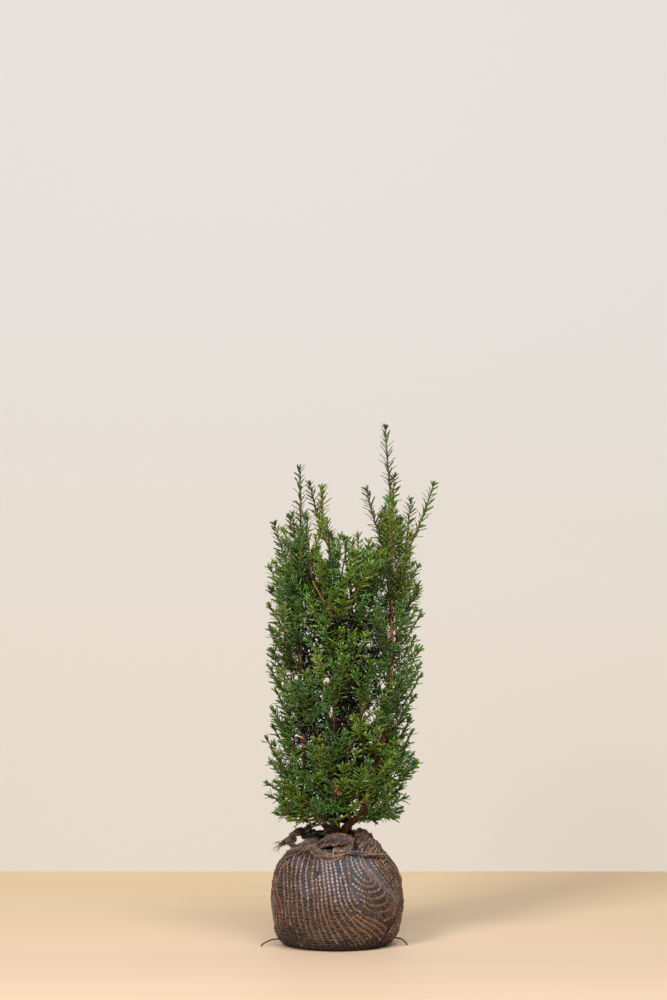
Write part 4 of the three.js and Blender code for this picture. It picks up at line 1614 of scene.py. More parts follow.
@dataclass
class Woody:
    """Trunk, stems, boughs and twigs, with the bark's relief.

    A limb's bark is old at the foot, up to the share given; the boughs inside the crown
    take the dark old bark all along, which also paints the shade that falls there. One
    stem turns golden towards its tip, and a stretch of another one is pink where it
    peels, painted lighter for the light that falls on it.
    """

    growth: Growth
    sides: int = 18
    ring: float = 0.0022
    least_rings: int = 12
    ridges: float = 0.10
    flakes: float = 0.05
    knot_from: float = 0.9
    knots: float = 0.30
    flare: float = 0.10
    flare_reach: float = 0.02
    old: float = 0.12
    # Boughs inside the crown, whose dark old bark also paints the shade that falls there
    old_and_shaded_boughs: tuple[str, ...] = ("bough_front_right", "bough_back_right", "bough_back_left")
    golden_stem: str = "stem_front"
    golden_from: float = 0.78
    # The stem and the stretch whose peeling pink bark is painted lighter for the light on it
    pink_and_lit_stem: str = "stem_right"
    pink_and_lit_span: tuple[float, float] = (0.50, 0.80)
    trunk_rings: int = 26
    trunk_sides: int = 64
    trunk_radius: float = 0.0155
    trunk_set_back: float = 0.001
    trunk_foot: float = 1.25
    trunk_taper: float = 0.3
    trunk_rim: float = 0.9
    trunk_rim_fall: float = 3.0
    trunk_sunk: float = 0.004
    trunk_flutes: tuple[tuple[int, float, float], ...] = ((5, 0.07, 0), (9, 0.04, 1))
    trunk_bark: float = 0.05
    trunk_flat: float = 0.85
    twig_sides: int = 4
    twig_taper: float = 0.4
    twig_end: float = 0.6
    green_from_young: float = 0.45
    green_from_grown: float = 0.35
    green_by_rank: float = 0.12
    green_spread: tuple[float, float] = (-0.15, 0.25)
    golden_twigs: float = 0.25
    twig_seed: int = 17

    def _limb(self, limb: Limb) -> tuple[np.ndarray, np.ndarray]:
        """A limb with ridges, flakes and the swellings of old buds.

        Args:
            limb: The limb.

        Returns:
            Vertices and triangles, as sweep gives them.
        """
        length = limb.curve.lengths[-1]
        share = np.linspace(0, 1, max(self.least_rings, int(length / self.ring)))
        line = limb.curve.points(share)[None]
        smooth = np.repeat(limb.radius(share)[:, None], self.sides, axis=1)
        beside = BESIDE[None, None]
        skin = rings_of(sweep(line, smooth[None], beside, self.sides)[0], self.sides)
        ridges = self.ridges * Ripple(0.009, 3, stretch=3.5).at(skin)
        relief = ridges + self.flakes * Ripple(0.0035, 4, stretch=2.5).at(skin)
        knots = np.maximum(Ripple(0.028, 5).at(skin) - self.knot_from, 0) * self.knots
        flare = self.flare * np.exp(-share * length / self.flare_reach)[:, None]
        return sweep(line, (smooth * (1 + relief + knots + flare))[None], beside, self.sides)

    def _trunk(self) -> tuple[np.ndarray, np.ndarray]:
        """The oval stool with its root flare and fluted bark.

        Returns:
            Vertices and triangles, as sweep gives them.
        """
        share = np.linspace(0, 1, self.trunk_rings)
        height = lerp(BALL_TOP - self.trunk_sunk, TRUNK_TOP, share)
        line = np.stack([0 * share, 0 * share + self.trunk_set_back, height], -1)[None]
        rim = np.where(share > self.trunk_rim, 1 - self.trunk_rim_fall * (share - self.trunk_rim), 1)
        radius = self.trunk_radius * (self.trunk_foot - self.trunk_taper * share) * rim
        turn = np.arange(self.trunk_sides) * TAU / self.trunk_sides
        flutes = 1
        for count, depth, first in self.trunk_flutes:
            flutes = flutes + depth * np.cos(count * turn + first)[None]
        back = np.array([0.0, 1.0, 0.0])[None, None]
        radii = radius[:, None] * flutes
        skin = rings_of(sweep(line, radii[None], back, self.trunk_sides)[0], self.trunk_sides)
        radii = radii * (1 + self.trunk_bark * Ripple(0.005, 8, stretch=3).at(skin))
        return sweep(line, radii[None], back, self.trunk_sides, flat=self.trunk_flat)

    def _twigs(self, effects: Effects) -> None:
        """Twigs of the shoots: brown at the foot, green or golden at the tip.

        Args:
            effects: The shared shader groups.
        """
        batch = MeshBatch()
        rng = np.random.default_rng(self.twig_seed)
        for stations in (self.growth.stations, self.growth.axis_stations):
            chosen = [shoot for shoot in self.growth.shoots if len(shoot.line) == stations and shoot.radius]
            lines = np.stack([shoot.line[::2] for shoot in chosen])
            feet = np.array([shoot.radius for shoot in chosen])[:, None, None]
            share = np.linspace(0, 1, lines.shape[1])[None, :, None]
            radii = feet * (1 - self.twig_taper * share) * np.where(share == 1, self.twig_end, 1)
            headings = unit(lines[:, -1] - lines[:, 0])
            beside = unit(np.cross(headings, np.array([0.35, 0.9, 0.2])))[:, None]
            vertices, triangles = sweep(lines, radii, beside, self.twig_sides)
            place = np.arange(triangles.shape[1]) / triangles.shape[1]
            young = np.array([shoot.age is Age.YOUNG for shoot in chosen])[:, None]
            ranks = np.array([shoot.rank for shoot in chosen])[:, None]
            change = np.where(young, self.green_from_young, self.green_from_grown)
            change = change - self.green_by_rank * ranks
            change = change + rng.uniform(*self.green_spread, (len(chosen), 1))
            golden = rng.random((len(chosen), 1)) < np.where(young, self.golden_twigs, 0.0)
            finish = np.where(place[None] > change, np.where(golden, 2, 1), 0)
            batch.add(vertices, triangles, finish.ravel())
        finishes = (("brown", "70452a", 0.7), ("green", "565e1c", 0.55), ("golden", "80602a", 0.55))
        materials = [
            PlainFinish(colour, roughness).material(f"twig_{name}", effects)
            for name, colour, roughness in finishes
        ]
        batch.build("twigs", materials, "bark")

    def _barks(self, effects: Effects) -> list[bpy.types.Material]:
        """Old, common, golden and pink bark; the old also paints shade on the inner boughs, and the pink is
        painted lighter for the light on it.

        Args:
            effects: The shared shader groups.

        Returns:
            The four materials.
        """
        finishes = (
            ("bark_old_and_shaded", "3a2214", "7a4c2c", 0.8, 90), ("bark", "6a3e2c", "c88868", 0.72, 70),
            ("bark_golden", "7e5c1e", "a88634", 0.6, 90), ("bark_pink_and_lit", "a8684e", "f0b090", 0.72, 70),
        )
        grain = {"stretch": (1.0, 1.0, 0.35), "relief_scale": 420}
        return [
            MottledFinish(dark, light, roughness, scale=scale, **grain).material(name, effects)
            for name, dark, light, roughness, scale in finishes
        ]

    def build(self, effects: Effects) -> None:
        """Builds and dresses the trunk, each limb and the twigs.

        Args:
            effects: The shared shader groups.
        """
        barks = self._barks(effects)
        for name, limb in self.growth.limbs.items():
            batch = MeshBatch()
            vertices, triangles = self._limb(limb)
            place = np.arange(triangles.shape[1]) / triangles.shape[1]
            # The boughs inside the crown take the dark old bark all along: old wood, and painted shade for
            # the shade inside the crown
            finish = (place > (1.0 if name in self.old_and_shaded_boughs else self.old)).astype(int)
            if name == self.golden_stem:
                finish = np.where(place > self.golden_from, 2, finish)
            # Painted light: peeling pink bark, lighter than the rest of the stem for the light that falls on
            # this stretch
            if name == self.pink_and_lit_stem:
                finish = np.where((place > self.pink_and_lit_span[0]) & (place < self.pink_and_lit_span[1]), 3, finish)
            batch.add(vertices, triangles, finish)
            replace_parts(batch.build(f"{name}_bark", barks, "bark"), name)
        batch = MeshBatch()
        batch.add(*self._trunk())
        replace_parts(batch.build("trunk_bark", barks[:1], "bark"), "trunk")
        self._twigs(effects)


def order(member: Enum) -> int:
    """A member's place among its Enum's members, which is its material's index."""
    return list(type(member)).index(member)


class YarnTone(Enum):
    """Yarn colours, from clean to soiled, then those of single threads."""

    CLEAN = "aa948c"
    TAN = "9c7a5c"
    STRAW = "84603f"
    BROWN = "5a402c"
    MUD = "342010"
    ORANGE = "a06432"
    SLATE = "565462"
    GREY = "6c5b50"
    LINT = "988a84"
    CRIMSON = "701238"


class Ground(Enum):
    """Cloth colours behind the yarn: dark and light patches."""

    SLATE = ("2e2b34", "56535f")
    SOIL = ("080504", "21160f")
    BROWN = ("1d120c", "482f1f")
    MUD = ("140b04", "2e1c0d")


@dataclass(frozen=True)
class Patch:
    """A soft patch on the ball, as the viewer sees it: its middle and half sizes."""

    x: float
    z: float
    half_width: float
    half_height: float

    def away(self, x: np.ndarray, z: np.ndarray) -> np.ndarray:
        """How far off its middle points lie, with 1 at its edge."""
        return np.hypot((x - self.x) / self.half_width, (z - self.z) / self.half_height)


@dataclass(frozen=True)
class Stitch:
    """A stitch's shape.

    Sunk is how deep its ends lie in the cloth, arch how high its middle rises above
    them, and part how far its legs stand apart. Pinch is the share of the yarn's
    radius that is left at its ends.
    """

    sunk: float
    arch: float
    part: float
    radius: float
    pinch: float


@dataclass
class RootBall:
    """The root ball: its cloth surface, knitted columns, ladder threads and lint.

    A level of soiling picks each stitch's tone: slate cloth, the open net on the left
    and the worn right edge lower it, mud and blotches raise it.
    """

    rings: int = 150
    sides: int = 300
    crest: float = 0.001
    crumples: float = 0.0011
    dents_depth: float = 0.0005
    smooth_foot: float = 0.012
    profile_points: int = 240
    guide_points: int = 90
    back_guides: int = 12
    back_sway: float = 0.05
    splits: tuple[float, ...] = (1 / 3, 2 / 3, 1 / 6, 1 / 2, 5 / 6)
    least_pitch: float = 0.0061
    open_pitch: float = 0.0028
    open_from: float = 0.030
    open_over: float = 0.02
    shortest_run: int = 9
    stitch: float = 0.0064
    stitch_points: int = 6
    open_stitch: Stitch = Stitch(sunk=0.0003, arch=0.0009, part=0.0014, radius=0.00062, pinch=0.6)
    plump_stitch: Stitch = Stitch(sunk=0.0009, arch=0.0021, part=0.0010, radius=0.00116, pinch=0.48)
    stitch_round: float = 0.8
    stitch_spread: tuple[float, float] = (0.65, 1.2)
    column_sway: float = 0.0003
    yarn_sides: int = 4
    marked: float = 0.85
    thread_sides: int = 3
    ladder_pitch: float = 0.0034
    ladder_radius: float = 0.00068
    ladder_spread: tuple[float, float] = (0.5, 1.2)
    ladder_step: float = 0.003
    ladder_least: int = 4
    ladder_slip: float = 0.006
    ladder_shake: float = 0.0012
    ladder_proud: float = 0.0005
    lint_count: int = 1600
    lint_length: tuple[float, float] = (0.003, 0.008)
    lint_curl: float = 1.2
    lint_points: int = 4
    lint_radius: float = 0.00022
    lint_proud: tuple[float, float] = (0.0011, 0.0008)
    lint_rise: tuple[float, float] = (0.004, 0.160)
    edge_lint_count: int = 520
    edge_lint_turn: tuple[float, float] = (0.85, 1.75)
    edge_lint_rise: tuple[float, float] = (0.020, 0.140)
    crease_lint_count: int = 220
    crease_lint_spread: tuple[float, float] = (0.035, 0.0035)
    mean_radius: float = 0.1
    fallen_length: float = 0.007
    fallen_radius: float = 0.0011
    fallen_points: int = 6
    fallen_proud: float = 0.0022
    slate_heart: Patch = Patch(0.011, 0.126, 0.060, 0.044)
    slate_left: Patch = Patch(-0.058, 0.142, 0.045, 0.030)
    mud_corner: Patch = Patch(-0.074, 0.020, 0.026, 0.026)
    mud_line: float = 0.021
    mud_edge: float = 0.010
    orange_left: float = -0.020
    orange_top: float = 0.085
    orange_edge: float = 0.02
    front_depth: float = 0.03
    tone_level: float = 2.15
    tone_spread: float = 0.65
    slate_cleans: float = 1.4
    mud_soils: float = 2.4
    net_cleans: float = 0.65
    net_from: float = 0.035
    net_over: float = 0.02
    worn_cleans: float = 0.7
    worn_from: float = 0.055
    worn_over: float = 0.03
    blotch_soils: float = 0.35
    heights: np.ndarray = field(init=False)
    radii: np.ndarray = field(init=False)
    crumple: Ripple = field(init=False)
    dents: Ripple = field(init=False)
    mud: Ripple = field(init=False)
    blotch: Ripple = field(init=False)
    rng: np.random.Generator = field(init=False)

    # Guide lines of the knitted columns as the viewer sees them, from the left
    # edge to the sweep at the lower right
    COLUMNS = (
        ((-0.080, 0.169), (-0.095, 0.149), (-0.106, 0.128), (-0.109, 0.106), (-0.107, 0.078), (-0.102, 0.050),
         (-0.098, 0.026), (-0.090, 0.007), (-0.086, -0.004)),
        ((-0.068, 0.170), (-0.079, 0.152), (-0.087, 0.134), (-0.089, 0.109), (-0.088, 0.085), (-0.086, 0.059),
         (-0.083, 0.033), (-0.074, 0.005), (-0.070, -0.010)),
        ((-0.050, 0.167), (-0.060, 0.151), (-0.067, 0.134), (-0.069, 0.109), (-0.067, 0.085), (-0.065, 0.057),
         (-0.061, 0.031), (-0.053, 0.002), (-0.048, -0.0125)),
        ((-0.030, 0.160), (-0.036, 0.150), (-0.040, 0.127), (-0.041, 0.106), (-0.039, 0.082), (-0.036, 0.057),
         (-0.032, 0.030), (-0.020, 0.0), (-0.010, -0.013)),
        ((-0.018, 0.160), (-0.024, 0.150), (-0.022, 0.113), (-0.019, 0.089), (-0.017, 0.066), (-0.013, 0.047),
         (-0.003, 0.026), (0.014, 0.0), (0.025, -0.013)),
        ((-0.004, 0.160), (-0.006, 0.150), (0.000, 0.113), (0.0035, 0.089), (0.0085, 0.066), (0.019, 0.048),
         (0.034, 0.030), (0.056, 0.0135), (0.068, -0.003)),
        ((0.006, 0.160), (0.005, 0.150), (0.012, 0.116), (0.0185, 0.090), (0.0254, 0.0673), (0.040, 0.0527),
         (0.0564, 0.0427), (0.072, 0.036), (0.088, 0.0245)),
    )

    # Guide lines of the loops, from the outermost to the core
    LOOPS = (
        ((0.010, 0.160), (0.0085, 0.150), (0.0145, 0.116), (0.022, 0.090), (0.031, 0.066), (0.045, 0.053),
         (0.060, 0.0437), (0.0755, 0.0385), (0.0925, 0.0445), (0.102, 0.062), (0.102, 0.085), (0.094, 0.108),
         (0.078, 0.130), (0.061, 0.150)),
        ((0.014, 0.160), (0.012, 0.148), (0.017, 0.116), (0.0255, 0.090), (0.0354, 0.070), (0.0509, 0.0609),
         (0.0664, 0.0527), (0.0846, 0.0555), (0.0935, 0.068), (0.093, 0.086), (0.084, 0.104), (0.068, 0.125),
         (0.052, 0.148)),
        ((0.018, 0.158), (0.018, 0.143), (0.0205, 0.127), (0.024, 0.108), (0.035, 0.095), (0.049, 0.089),
         (0.063, 0.088), (0.073, 0.094), (0.072, 0.106), (0.061, 0.120), (0.050, 0.134), (0.043, 0.150)),
        ((0.024, 0.156), (0.025, 0.142), (0.030, 0.127), (0.039, 0.115), (0.049, 0.106), (0.056, 0.105),
         (0.059, 0.110), (0.052, 0.120), (0.044, 0.130), (0.037, 0.152)),
        ((0.029, 0.154), (0.031, 0.142), (0.036, 0.131), (0.041, 0.122), (0.045, 0.119), (0.047, 0.122),
         (0.042, 0.130), (0.037, 0.138), (0.033, 0.153)),
    )

    # Guide lines from the loops to the right edge
    EDGE = (
        ((0.064, 0.152), (0.082, 0.131), (0.098, 0.108), (0.106, 0.085), (0.107, 0.062), (0.101, 0.040),
         (0.090, 0.020), (0.080, 0.002)),
        ((0.077, 0.157), (0.091, 0.135), (0.101, 0.113), (0.108, 0.085), (0.110, 0.057), (0.108, 0.033),
         (0.101, 0.008), (0.096, -0.003)),
    )

    # The crimson thread and the crease that gathers lint, as the viewer sees them
    CRIMSON = (
        (-0.070, 0.166), (-0.083, 0.154), (-0.094, 0.139), (-0.101, 0.122), (-0.1025, 0.107),
        (-0.1005, 0.092), (-0.098, 0.076), (-0.096, 0.059), (-0.093, 0.043), (-0.092, 0.028),
    )
    CREASE = ((0.044, 0.140), (0.054, 0.127), (0.064, 0.113), (0.077, 0.097), (0.090, 0.086), (0.098, 0.074))

    # Fallen needles that the cloth holds, as the viewer sees them, and their lean
    FALLEN = (
        (-0.0040, 0.125, 2.4), (0.0417, 0.1386, 2.5), (0.0250, 0.0880, 1.2), (0.0240, 0.0845, 0.3),
        (-0.0280, 0.1580, 1.0), (-0.0440, 0.1650, 0.6), (-0.0620, 0.0120, 2.6),
    )
    SIGHT_ROUNDS = 3

    def __post_init__(self) -> None:
        """Smooths the profile and draws the noise."""
        outline = np.array([(radius, 0.0, height) for radius, height in BALL_PROFILE])
        smooth = Spline(outline).points(np.linspace(0, 1, self.profile_points))
        rising = np.arange(self.profile_points) * 1e-9
        self.heights = np.maximum.accumulate(smooth[:, 2]) + rising
        self.radii = smooth[:, 0]
        self.crumple = Ripple(0.045, 21)
        self.dents = Ripple(0.016, 22)
        self.mud = Ripple(0.055, 23)
        self.blotch = Ripple(0.020, 24)
        self.rng = np.random.default_rng(5)

    def surface(self, turn: np.ndarray, height: np.ndarray, proud: Number = 0.0) -> np.ndarray:
        """Points on the ball.

        Args:
            turn: Angle from the side that faces the viewer, to the right.
            height: Height above the ground.
            proud: How far the points stand out.

        Returns:
            The points, as an array that ends in 3.
        """
        radius = np.interp(height, self.heights, self.radii)
        x, y = np.sin(turn), -np.cos(turn)
        middle = np.sin(math.pi * np.clip(height / BALL_TOP, 0, 1))
        lump = BALL_LUMP * middle * np.sin(BALL_LUMPS * np.arctan2(y, x) + height / BALL_LUMP_TURN)
        seed = np.stack([x * radius, y * radius, height], -1)
        rough = self.crumples * self.crumple.at(seed) + self.dents_depth * self.dents.at(seed)
        radius = radius * (1 + lump) + rough * ramp(height, 0, self.smooth_foot) + proud
        return np.stack([x * radius, y * radius, height], -1)

    def normals(self, turn: np.ndarray, height: np.ndarray) -> np.ndarray:
        """Directions that point away from the ball."""
        return unit(self.surface(turn, height, 0.001) - self.surface(turn, height))

    def seen(self, guide: tuple, count: int) -> Guide:
        """A guide line that the viewer sees, carried onto the ball.

        Args:
            guide: Points of the line, across and up.
            count: How many points are wanted.

        Returns:
            Turns and heights of evenly spaced points.
        """
        flat = np.array([(x, 0.0, z) for x, z in guide])
        line = Spline(flat).points(np.linspace(0, 1, count))
        x, z = line[:, 0].copy(), line[:, 2].copy()
        for _ in range(self.SIGHT_ROUNDS):
            radius = np.interp(z, self.heights, self.radii)
            y = -np.sqrt(np.maximum(radius ** 2 - np.minimum(np.abs(x), radius) ** 2, 0))
            scale = (y - EYE[1]) / -EYE[1]
            x = EYE[0] + (line[:, 0] - EYE[0]) * scale
            z = np.clip(EYE[2] + (line[:, 2] - EYE[2]) * scale, 0.001, BALL_TOP)
        radius = np.interp(z, self.heights, self.radii)
        return np.arcsin(np.clip(x / radius, -0.999, 0.999)), z

    def guides(self) -> list[list[Guide]]:
        """Families of guide lines.

        Returns:
            Columns, loops, the right edge's and last those round the back.
        """
        families = (self.COLUMNS, self.LOOPS, self.EDGE)
        fronts = [[self.seen(guide, self.guide_points) for guide in family] for family in families]
        right, left = fronts[2][-1], fronts[0][0]
        wave = np.linspace(0, 3, self.guide_points)
        back = []
        for share in np.linspace(0, 1, self.back_guides):
            sway = self.back_sway * np.sin(wave + share * 9) * np.sin(math.pi * share)
            back.append((lerp(right[0], left[0] + TAU, share) + sway, lerp(right[1], left[1], share)))
        return [*fronts, back]

    def columns(self, family: list[Guide], taken: np.ndarray) -> tuple[list[Guide], np.ndarray]:
        """Guide lines, and columns between them wherever there is room.

        Args:
            family: Neighbouring guide lines.
            taken: Points of the columns that stand already.

        Returns:
            The columns' stretches as turns and heights, and all points now taken.
        """
        lines = list(family)
        for share in self.splits:
            for (turn_a, height_a), (turn_b, height_b) in zip(family, family[1:]):
                lines.append((lerp(turn_a, turn_b, share), lerp(height_a, height_b, share)))
        runs = []
        for turn, height in lines:
            path = self.surface(turn, height)
            apart = np.sqrt(((path[:, None] - taken[None]) ** 2).sum(-1).min(axis=1))
            pitch = self.least_pitch + self.open_pitch * ramp(-path[:, 0], self.open_from, self.open_over)
            free = np.concatenate([[False], apart > pitch, [False]])
            edges = np.flatnonzero(np.diff(free.astype(int)))
            for first, last in zip(edges[::2], edges[1::2]):
                if last - first >= self.shortest_run:
                    runs.append((turn[first:last], height[first:last]))
                    taken = np.vstack([taken, path[first:last]])
        return runs, taken

    def zones(self, points: np.ndarray) -> tuple[np.ndarray, np.ndarray, np.ndarray]:
        """Where the cloth is slate, muddy or knitted with orange yarn.

        Args:
            points: Points as an array that ends in 3.

        Returns:
            Shares from 0 to 1 of slate cloth, of mud and of orange yarn.
        """
        x, y, z = np.moveaxis(points, -1, 0)
        wide, fine = self.mud.at(points), self.blotch.at(points)
        front = ramp(-y, 0, self.front_depth)
        slate = np.maximum(1.75 - 1.25 * self.slate_heart.away(x, z), 0.75 - self.slate_left.away(x, z))
        slate = slate + 0.22 * wide + 0.18 * fine
        low = (self.mud_line - z) / self.mud_edge + 0.35 * wide + 0.3 * fine
        corner = 1.4 - self.mud_corner.away(x, z) + 0.3 * fine
        mud = np.maximum(low, corner * (y < 0))
        orange = np.minimum(x - self.orange_left, self.orange_top - z) / self.orange_edge
        return np.clip(slate, 0, 1) * front, np.clip(mud, 0, 1), np.clip(orange, 0, 1) * front

    def yarn_tone(self, points: np.ndarray, soil: float = 0.0) -> np.ndarray:
        """Indices of yarn tones at points: clean above, soiled below.

        Args:
            points: Where the yarn lies.
            soil: How much more soiled it is there, from 0 to 1.

        Returns:
            Indices into the yarn tones.
        """
        slate, mud, orange = self.zones(points)
        net = ramp(-points[..., 0], self.net_from, self.net_over)
        worn = ramp(points[..., 0], self.worn_from, self.worn_over)
        level = self.tone_level - self.slate_cleans * slate + self.mud_soils * mud + self.mud_soils * soil
        level = level - (self.net_cleans * net + self.worn_cleans * worn) * (1 - mud)
        level = level + self.blotch_soils * self.blotch.at(points)
        level = level + self.rng.normal(0, self.tone_spread, level.shape)
        dirtiest = order(YarnTone.MUD)
        tone = np.clip(np.round(level), 0, dirtiest).astype(int)
        bright = (self.rng.random(level.shape) < 0.02 + 0.34 * orange * (1 - mud)) & (tone < dirtiest)
        return np.where(bright, order(YarnTone.ORANGE), tone)

    def cloth(self) -> tuple[np.ndarray, np.ndarray, np.ndarray]:
        """The cloth's surface with the flat underside that the ball stands on.

        Returns:
            Vertices, triangles and the ground's index of each triangle.
        """
        share = np.linspace(0, 1, self.rings)
        heights = np.interp(share, np.linspace(0, 1, self.profile_points), self.heights)
        turns = np.arange(self.sides) * TAU / self.sides
        skin = self.surface(np.broadcast_to(turns, (self.rings, self.sides)), heights[:, None] + 0 * turns)
        ends = np.array([(0.0, 0.0, 0.0), (0.0, 0.0, BALL_TOP + self.crest)])
        vertices = np.concatenate([skin.reshape(-1, 3), ends])
        triangles = tube_triangles(self.rings, self.sides)
        middles = vertices[triangles].mean(axis=1)
        slate, mud, _ = self.zones(middles)
        speckle = self.rng.random(len(middles))
        worn = self.blotch.at(middles) + speckle + ramp(middles[:, 0], 0.06, 0.02) > 0.9
        finish = np.where(worn, order(Ground.BROWN), order(Ground.SOIL))
        for ground, zone in ((Ground.SLATE, slate), (Ground.MUD, mud)):
            finish = np.where(zone > 0.25 + 0.6 * speckle, order(ground), finish)
        return vertices, triangles, finish

    def knit(
        self, path: np.ndarray, normal: np.ndarray, bead: np.ndarray, soil: float = 0.0,
        mark: YarnTone | None = None,
    ) -> tuple[np.ndarray, np.ndarray, np.ndarray]:
        """One knitted column along a path: two legs that part and meet at each stitch.

        Args:
            path: Points of the column's line.
            normal: Directions away from the cloth there.
            bead: How plump the stitches are there, from 0 for an open net to 1.
            soil: How much more soiled the yarn is than the cloth's place says.
            mark: A colour that most of the column takes.

        Returns:
            Vertices, triangles and the yarn tone of each triangle.
        """
        walk = walked(path)
        stitches = max(2, round(walk[-1] / self.stitch))
        count = stitches * self.stitch_points + 1
        places = np.linspace(0, walk[-1], count)
        path, normal = resampled(places, walk, path), unit(resampled(places, walk, normal))
        bead = np.interp(places, walk, bead)
        stitch = np.arange(count) // self.stitch_points
        wave = np.abs(np.sin(math.pi * np.arange(count) / self.stitch_points))
        wave = wave ** self.stitch_round * self.rng.uniform(*self.stitch_spread, stitches + 1)[stitch]
        across = np.cross(unit(np.gradient(path, axis=0)), normal)
        knots = np.arange(stitches + 2)
        sway = self.rng.normal(0, self.column_sway, len(knots))
        path = path + across * np.interp(np.arange(count) / self.stitch_points, knots, sway)[:, None]
        flat, plump = self.open_stitch, self.plump_stitch
        rise = lerp(-flat.sunk + flat.arch * wave, -plump.sunk + plump.arch * wave, bead)
        centre = path + normal * rise[:, None]
        offset = lerp(flat.part * wave, plump.part * wave, bead)
        lines = np.stack([centre + across * (sign * offset)[:, None] for sign in (-1, 1)])
        thin, thick = (kind.radius * (kind.pinch + (1 - kind.pinch) * wave) for kind in (flat, plump))
        radii = lerp(thin, thick, bead)[None, :, None]
        vertices, triangles = sweep(lines, radii, np.stack([normal, normal]), self.yarn_sides)
        middle = np.minimum(stitch[:-1] * self.stitch_points + self.stitch_points // 2, count - 1)
        faces = 2 * self.yarn_sides
        finish = []
        for _ in lines:
            tones = self.yarn_tone(centre, soil)
            if mark is not None:
                tones = np.where(self.rng.random(count) < self.marked, order(mark), tones)
            finish += [np.repeat(tones[middle], faces), np.full(faces, tones[0])]
        return vertices, triangles, np.concatenate(finish)

    def ladders(self, family: list[Guide], batch: MeshBatch) -> None:
        """Thin threads that cross from each guide line to the next.

        Args:
            family: Neighbouring guide lines.
            batch: Where the threads go.
        """
        for (turn_a, height_a), (turn_b, height_b) in zip(family, family[1:]):
            side, other = self.surface(turn_a, height_a), self.surface(turn_b, height_b)
            count = int(walked(side)[-1] / self.ladder_pitch)
            widest = np.linalg.norm(side - other, axis=1).max()
            stations = max(self.ladder_least, int(widest / self.ladder_step))
            share = (np.arange(count) + self.rng.uniform(0.2, 0.8, count)) / count
            index = np.arange(len(side)) / (len(side) - 1)
            steps = np.linspace(0, 1, stations)[None]
            slip = self.rng.normal(0, self.ladder_slip, (count, 1)) * (steps - 0.5)
            shake = self.rng.normal(0, self.ladder_shake, (count, stations))
            place = np.clip(share[:, None] + slip + shake, 0, 1)
            turn = lerp(np.interp(place, index, turn_a), np.interp(place, index, turn_b), steps)
            height = lerp(np.interp(place, index, height_a), np.interp(place, index, height_b), steps)
            lines = self.surface(turn, height, self.ladder_proud)
            thick = self.ladder_radius * self.rng.uniform(*self.ladder_spread, (count, stations, 1))
            vertices, triangles = sweep(lines, thick, self.normals(turn, height), self.thread_sides)
            tones = self._thread_tone(lines[:, 1:])
            tones = np.concatenate([tones, tones[:, :1]], axis=1)
            batch.add(vertices, triangles, np.repeat(tones, 2 * self.thread_sides, axis=1).ravel())

    def _thread_tone(self, points: np.ndarray) -> np.ndarray:
        """Tones of thin threads: slate or grey-brown, and mud below.

        Args:
            points: Where the threads lie.

        Returns:
            Indices into the yarn tones.
        """
        slate, mud, _ = self.zones(points)
        dull = [order(tone) for tone in (YarnTone.GREY, YarnTone.BROWN, YarnTone.STRAW, YarnTone.SLATE)]
        finish = self.rng.choice(dull, slate.shape, p=(0.34, 0.44, 0.12, 0.10))
        finish = np.where(self.rng.random(slate.shape) < slate, order(YarnTone.SLATE), finish)
        return np.where(self.rng.random(slate.shape) < 0.85 * mud, order(YarnTone.MUD), finish)

    def lint(
        self, turn: np.ndarray, height: np.ndarray, batch: MeshBatch, tone: YarnTone | None = None
    ) -> None:
        """Short loose fibres that lie on the cloth.

        Args:
            turn: Turns of their middles.
            height: Heights of their middles.
            batch: Where they go.
            tone: A colour for all of them instead of the threads' own.
        """
        count = len(turn)
        share = np.linspace(-0.5, 0.5, self.lint_points)[None]
        heading = self.rng.uniform(0, TAU, (count, 1))
        length = self.rng.uniform(*self.lint_length, (count, 1))
        bend = heading + self.rng.normal(0, self.lint_curl, (count, 1)) * share
        turns = turn[:, None] + np.cos(bend) * length * share / self.mean_radius
        heights = np.clip(height[:, None] + np.sin(bend) * length * share, 0.001, BALL_TOP)
        least, more = self.lint_proud
        lines = self.surface(turns, heights, least + more * self.rng.random((count, 1)))
        radii = np.full((1, 1, 1), self.lint_radius)
        vertices, triangles = sweep(lines, radii, self.normals(turns, heights), self.thread_sides)
        tones = self._thread_tone(lines[:, 1])
        if tone is not None:
            tones = np.full(count, order(tone))
        batch.add(vertices, triangles, np.repeat(tones, triangles.shape[1]))

    def _all_lint(self, batch: MeshBatch) -> None:
        """Lint all over the ball, on its right edge and along the crease.

        Args:
            batch: Where the fibres go.
        """
        turns = self.rng.uniform(0, TAU, self.lint_count)
        self.lint(turns, self.rng.uniform(*self.lint_rise, self.lint_count), batch)
        turns = self.rng.uniform(*self.edge_lint_turn, self.edge_lint_count)
        heights = self.rng.uniform(*self.edge_lint_rise, self.edge_lint_count)
        self.lint(turns, heights, batch, YarnTone.STRAW)
        turn, height = self.seen(self.CREASE, self.crease_lint_count)
        spread = self.rng.normal(0, 1, (2, self.crease_lint_count))
        across, up = self.crease_lint_spread
        self.lint(turn + across * spread[0], height + up * spread[1], batch, YarnTone.LINT)

    def fallen(self, effects: Effects) -> None:
        """Green needles that have dropped on the cloth.

        Args:
            effects: The shared shader groups.
        """
        batch = MeshBatch()
        reach = self.fallen_length / 2
        width = np.sin(math.pi * np.linspace(0.12, 0.95, self.fallen_points))
        for x, z, lean in self.FALLEN:
            foot, end = (
                (x + sign * reach * math.cos(lean), z + sign * reach * math.sin(lean)) for sign in (-1, 1)
            )
            turn, height = self.seen((foot, (x, z), end), self.fallen_points)
            line = self.surface(turn, height, self.fallen_proud)[None]
            radii = self.fallen_radius * width[None, :, None]
            batch.add(*sweep(line, radii, self.normals(turn, height)[None], 6, flat=0.5))
        green = PlainFinish("3e6818", 0.4).material("needle_fallen", effects)
        batch.build("fallen_needles", [green], "needles")

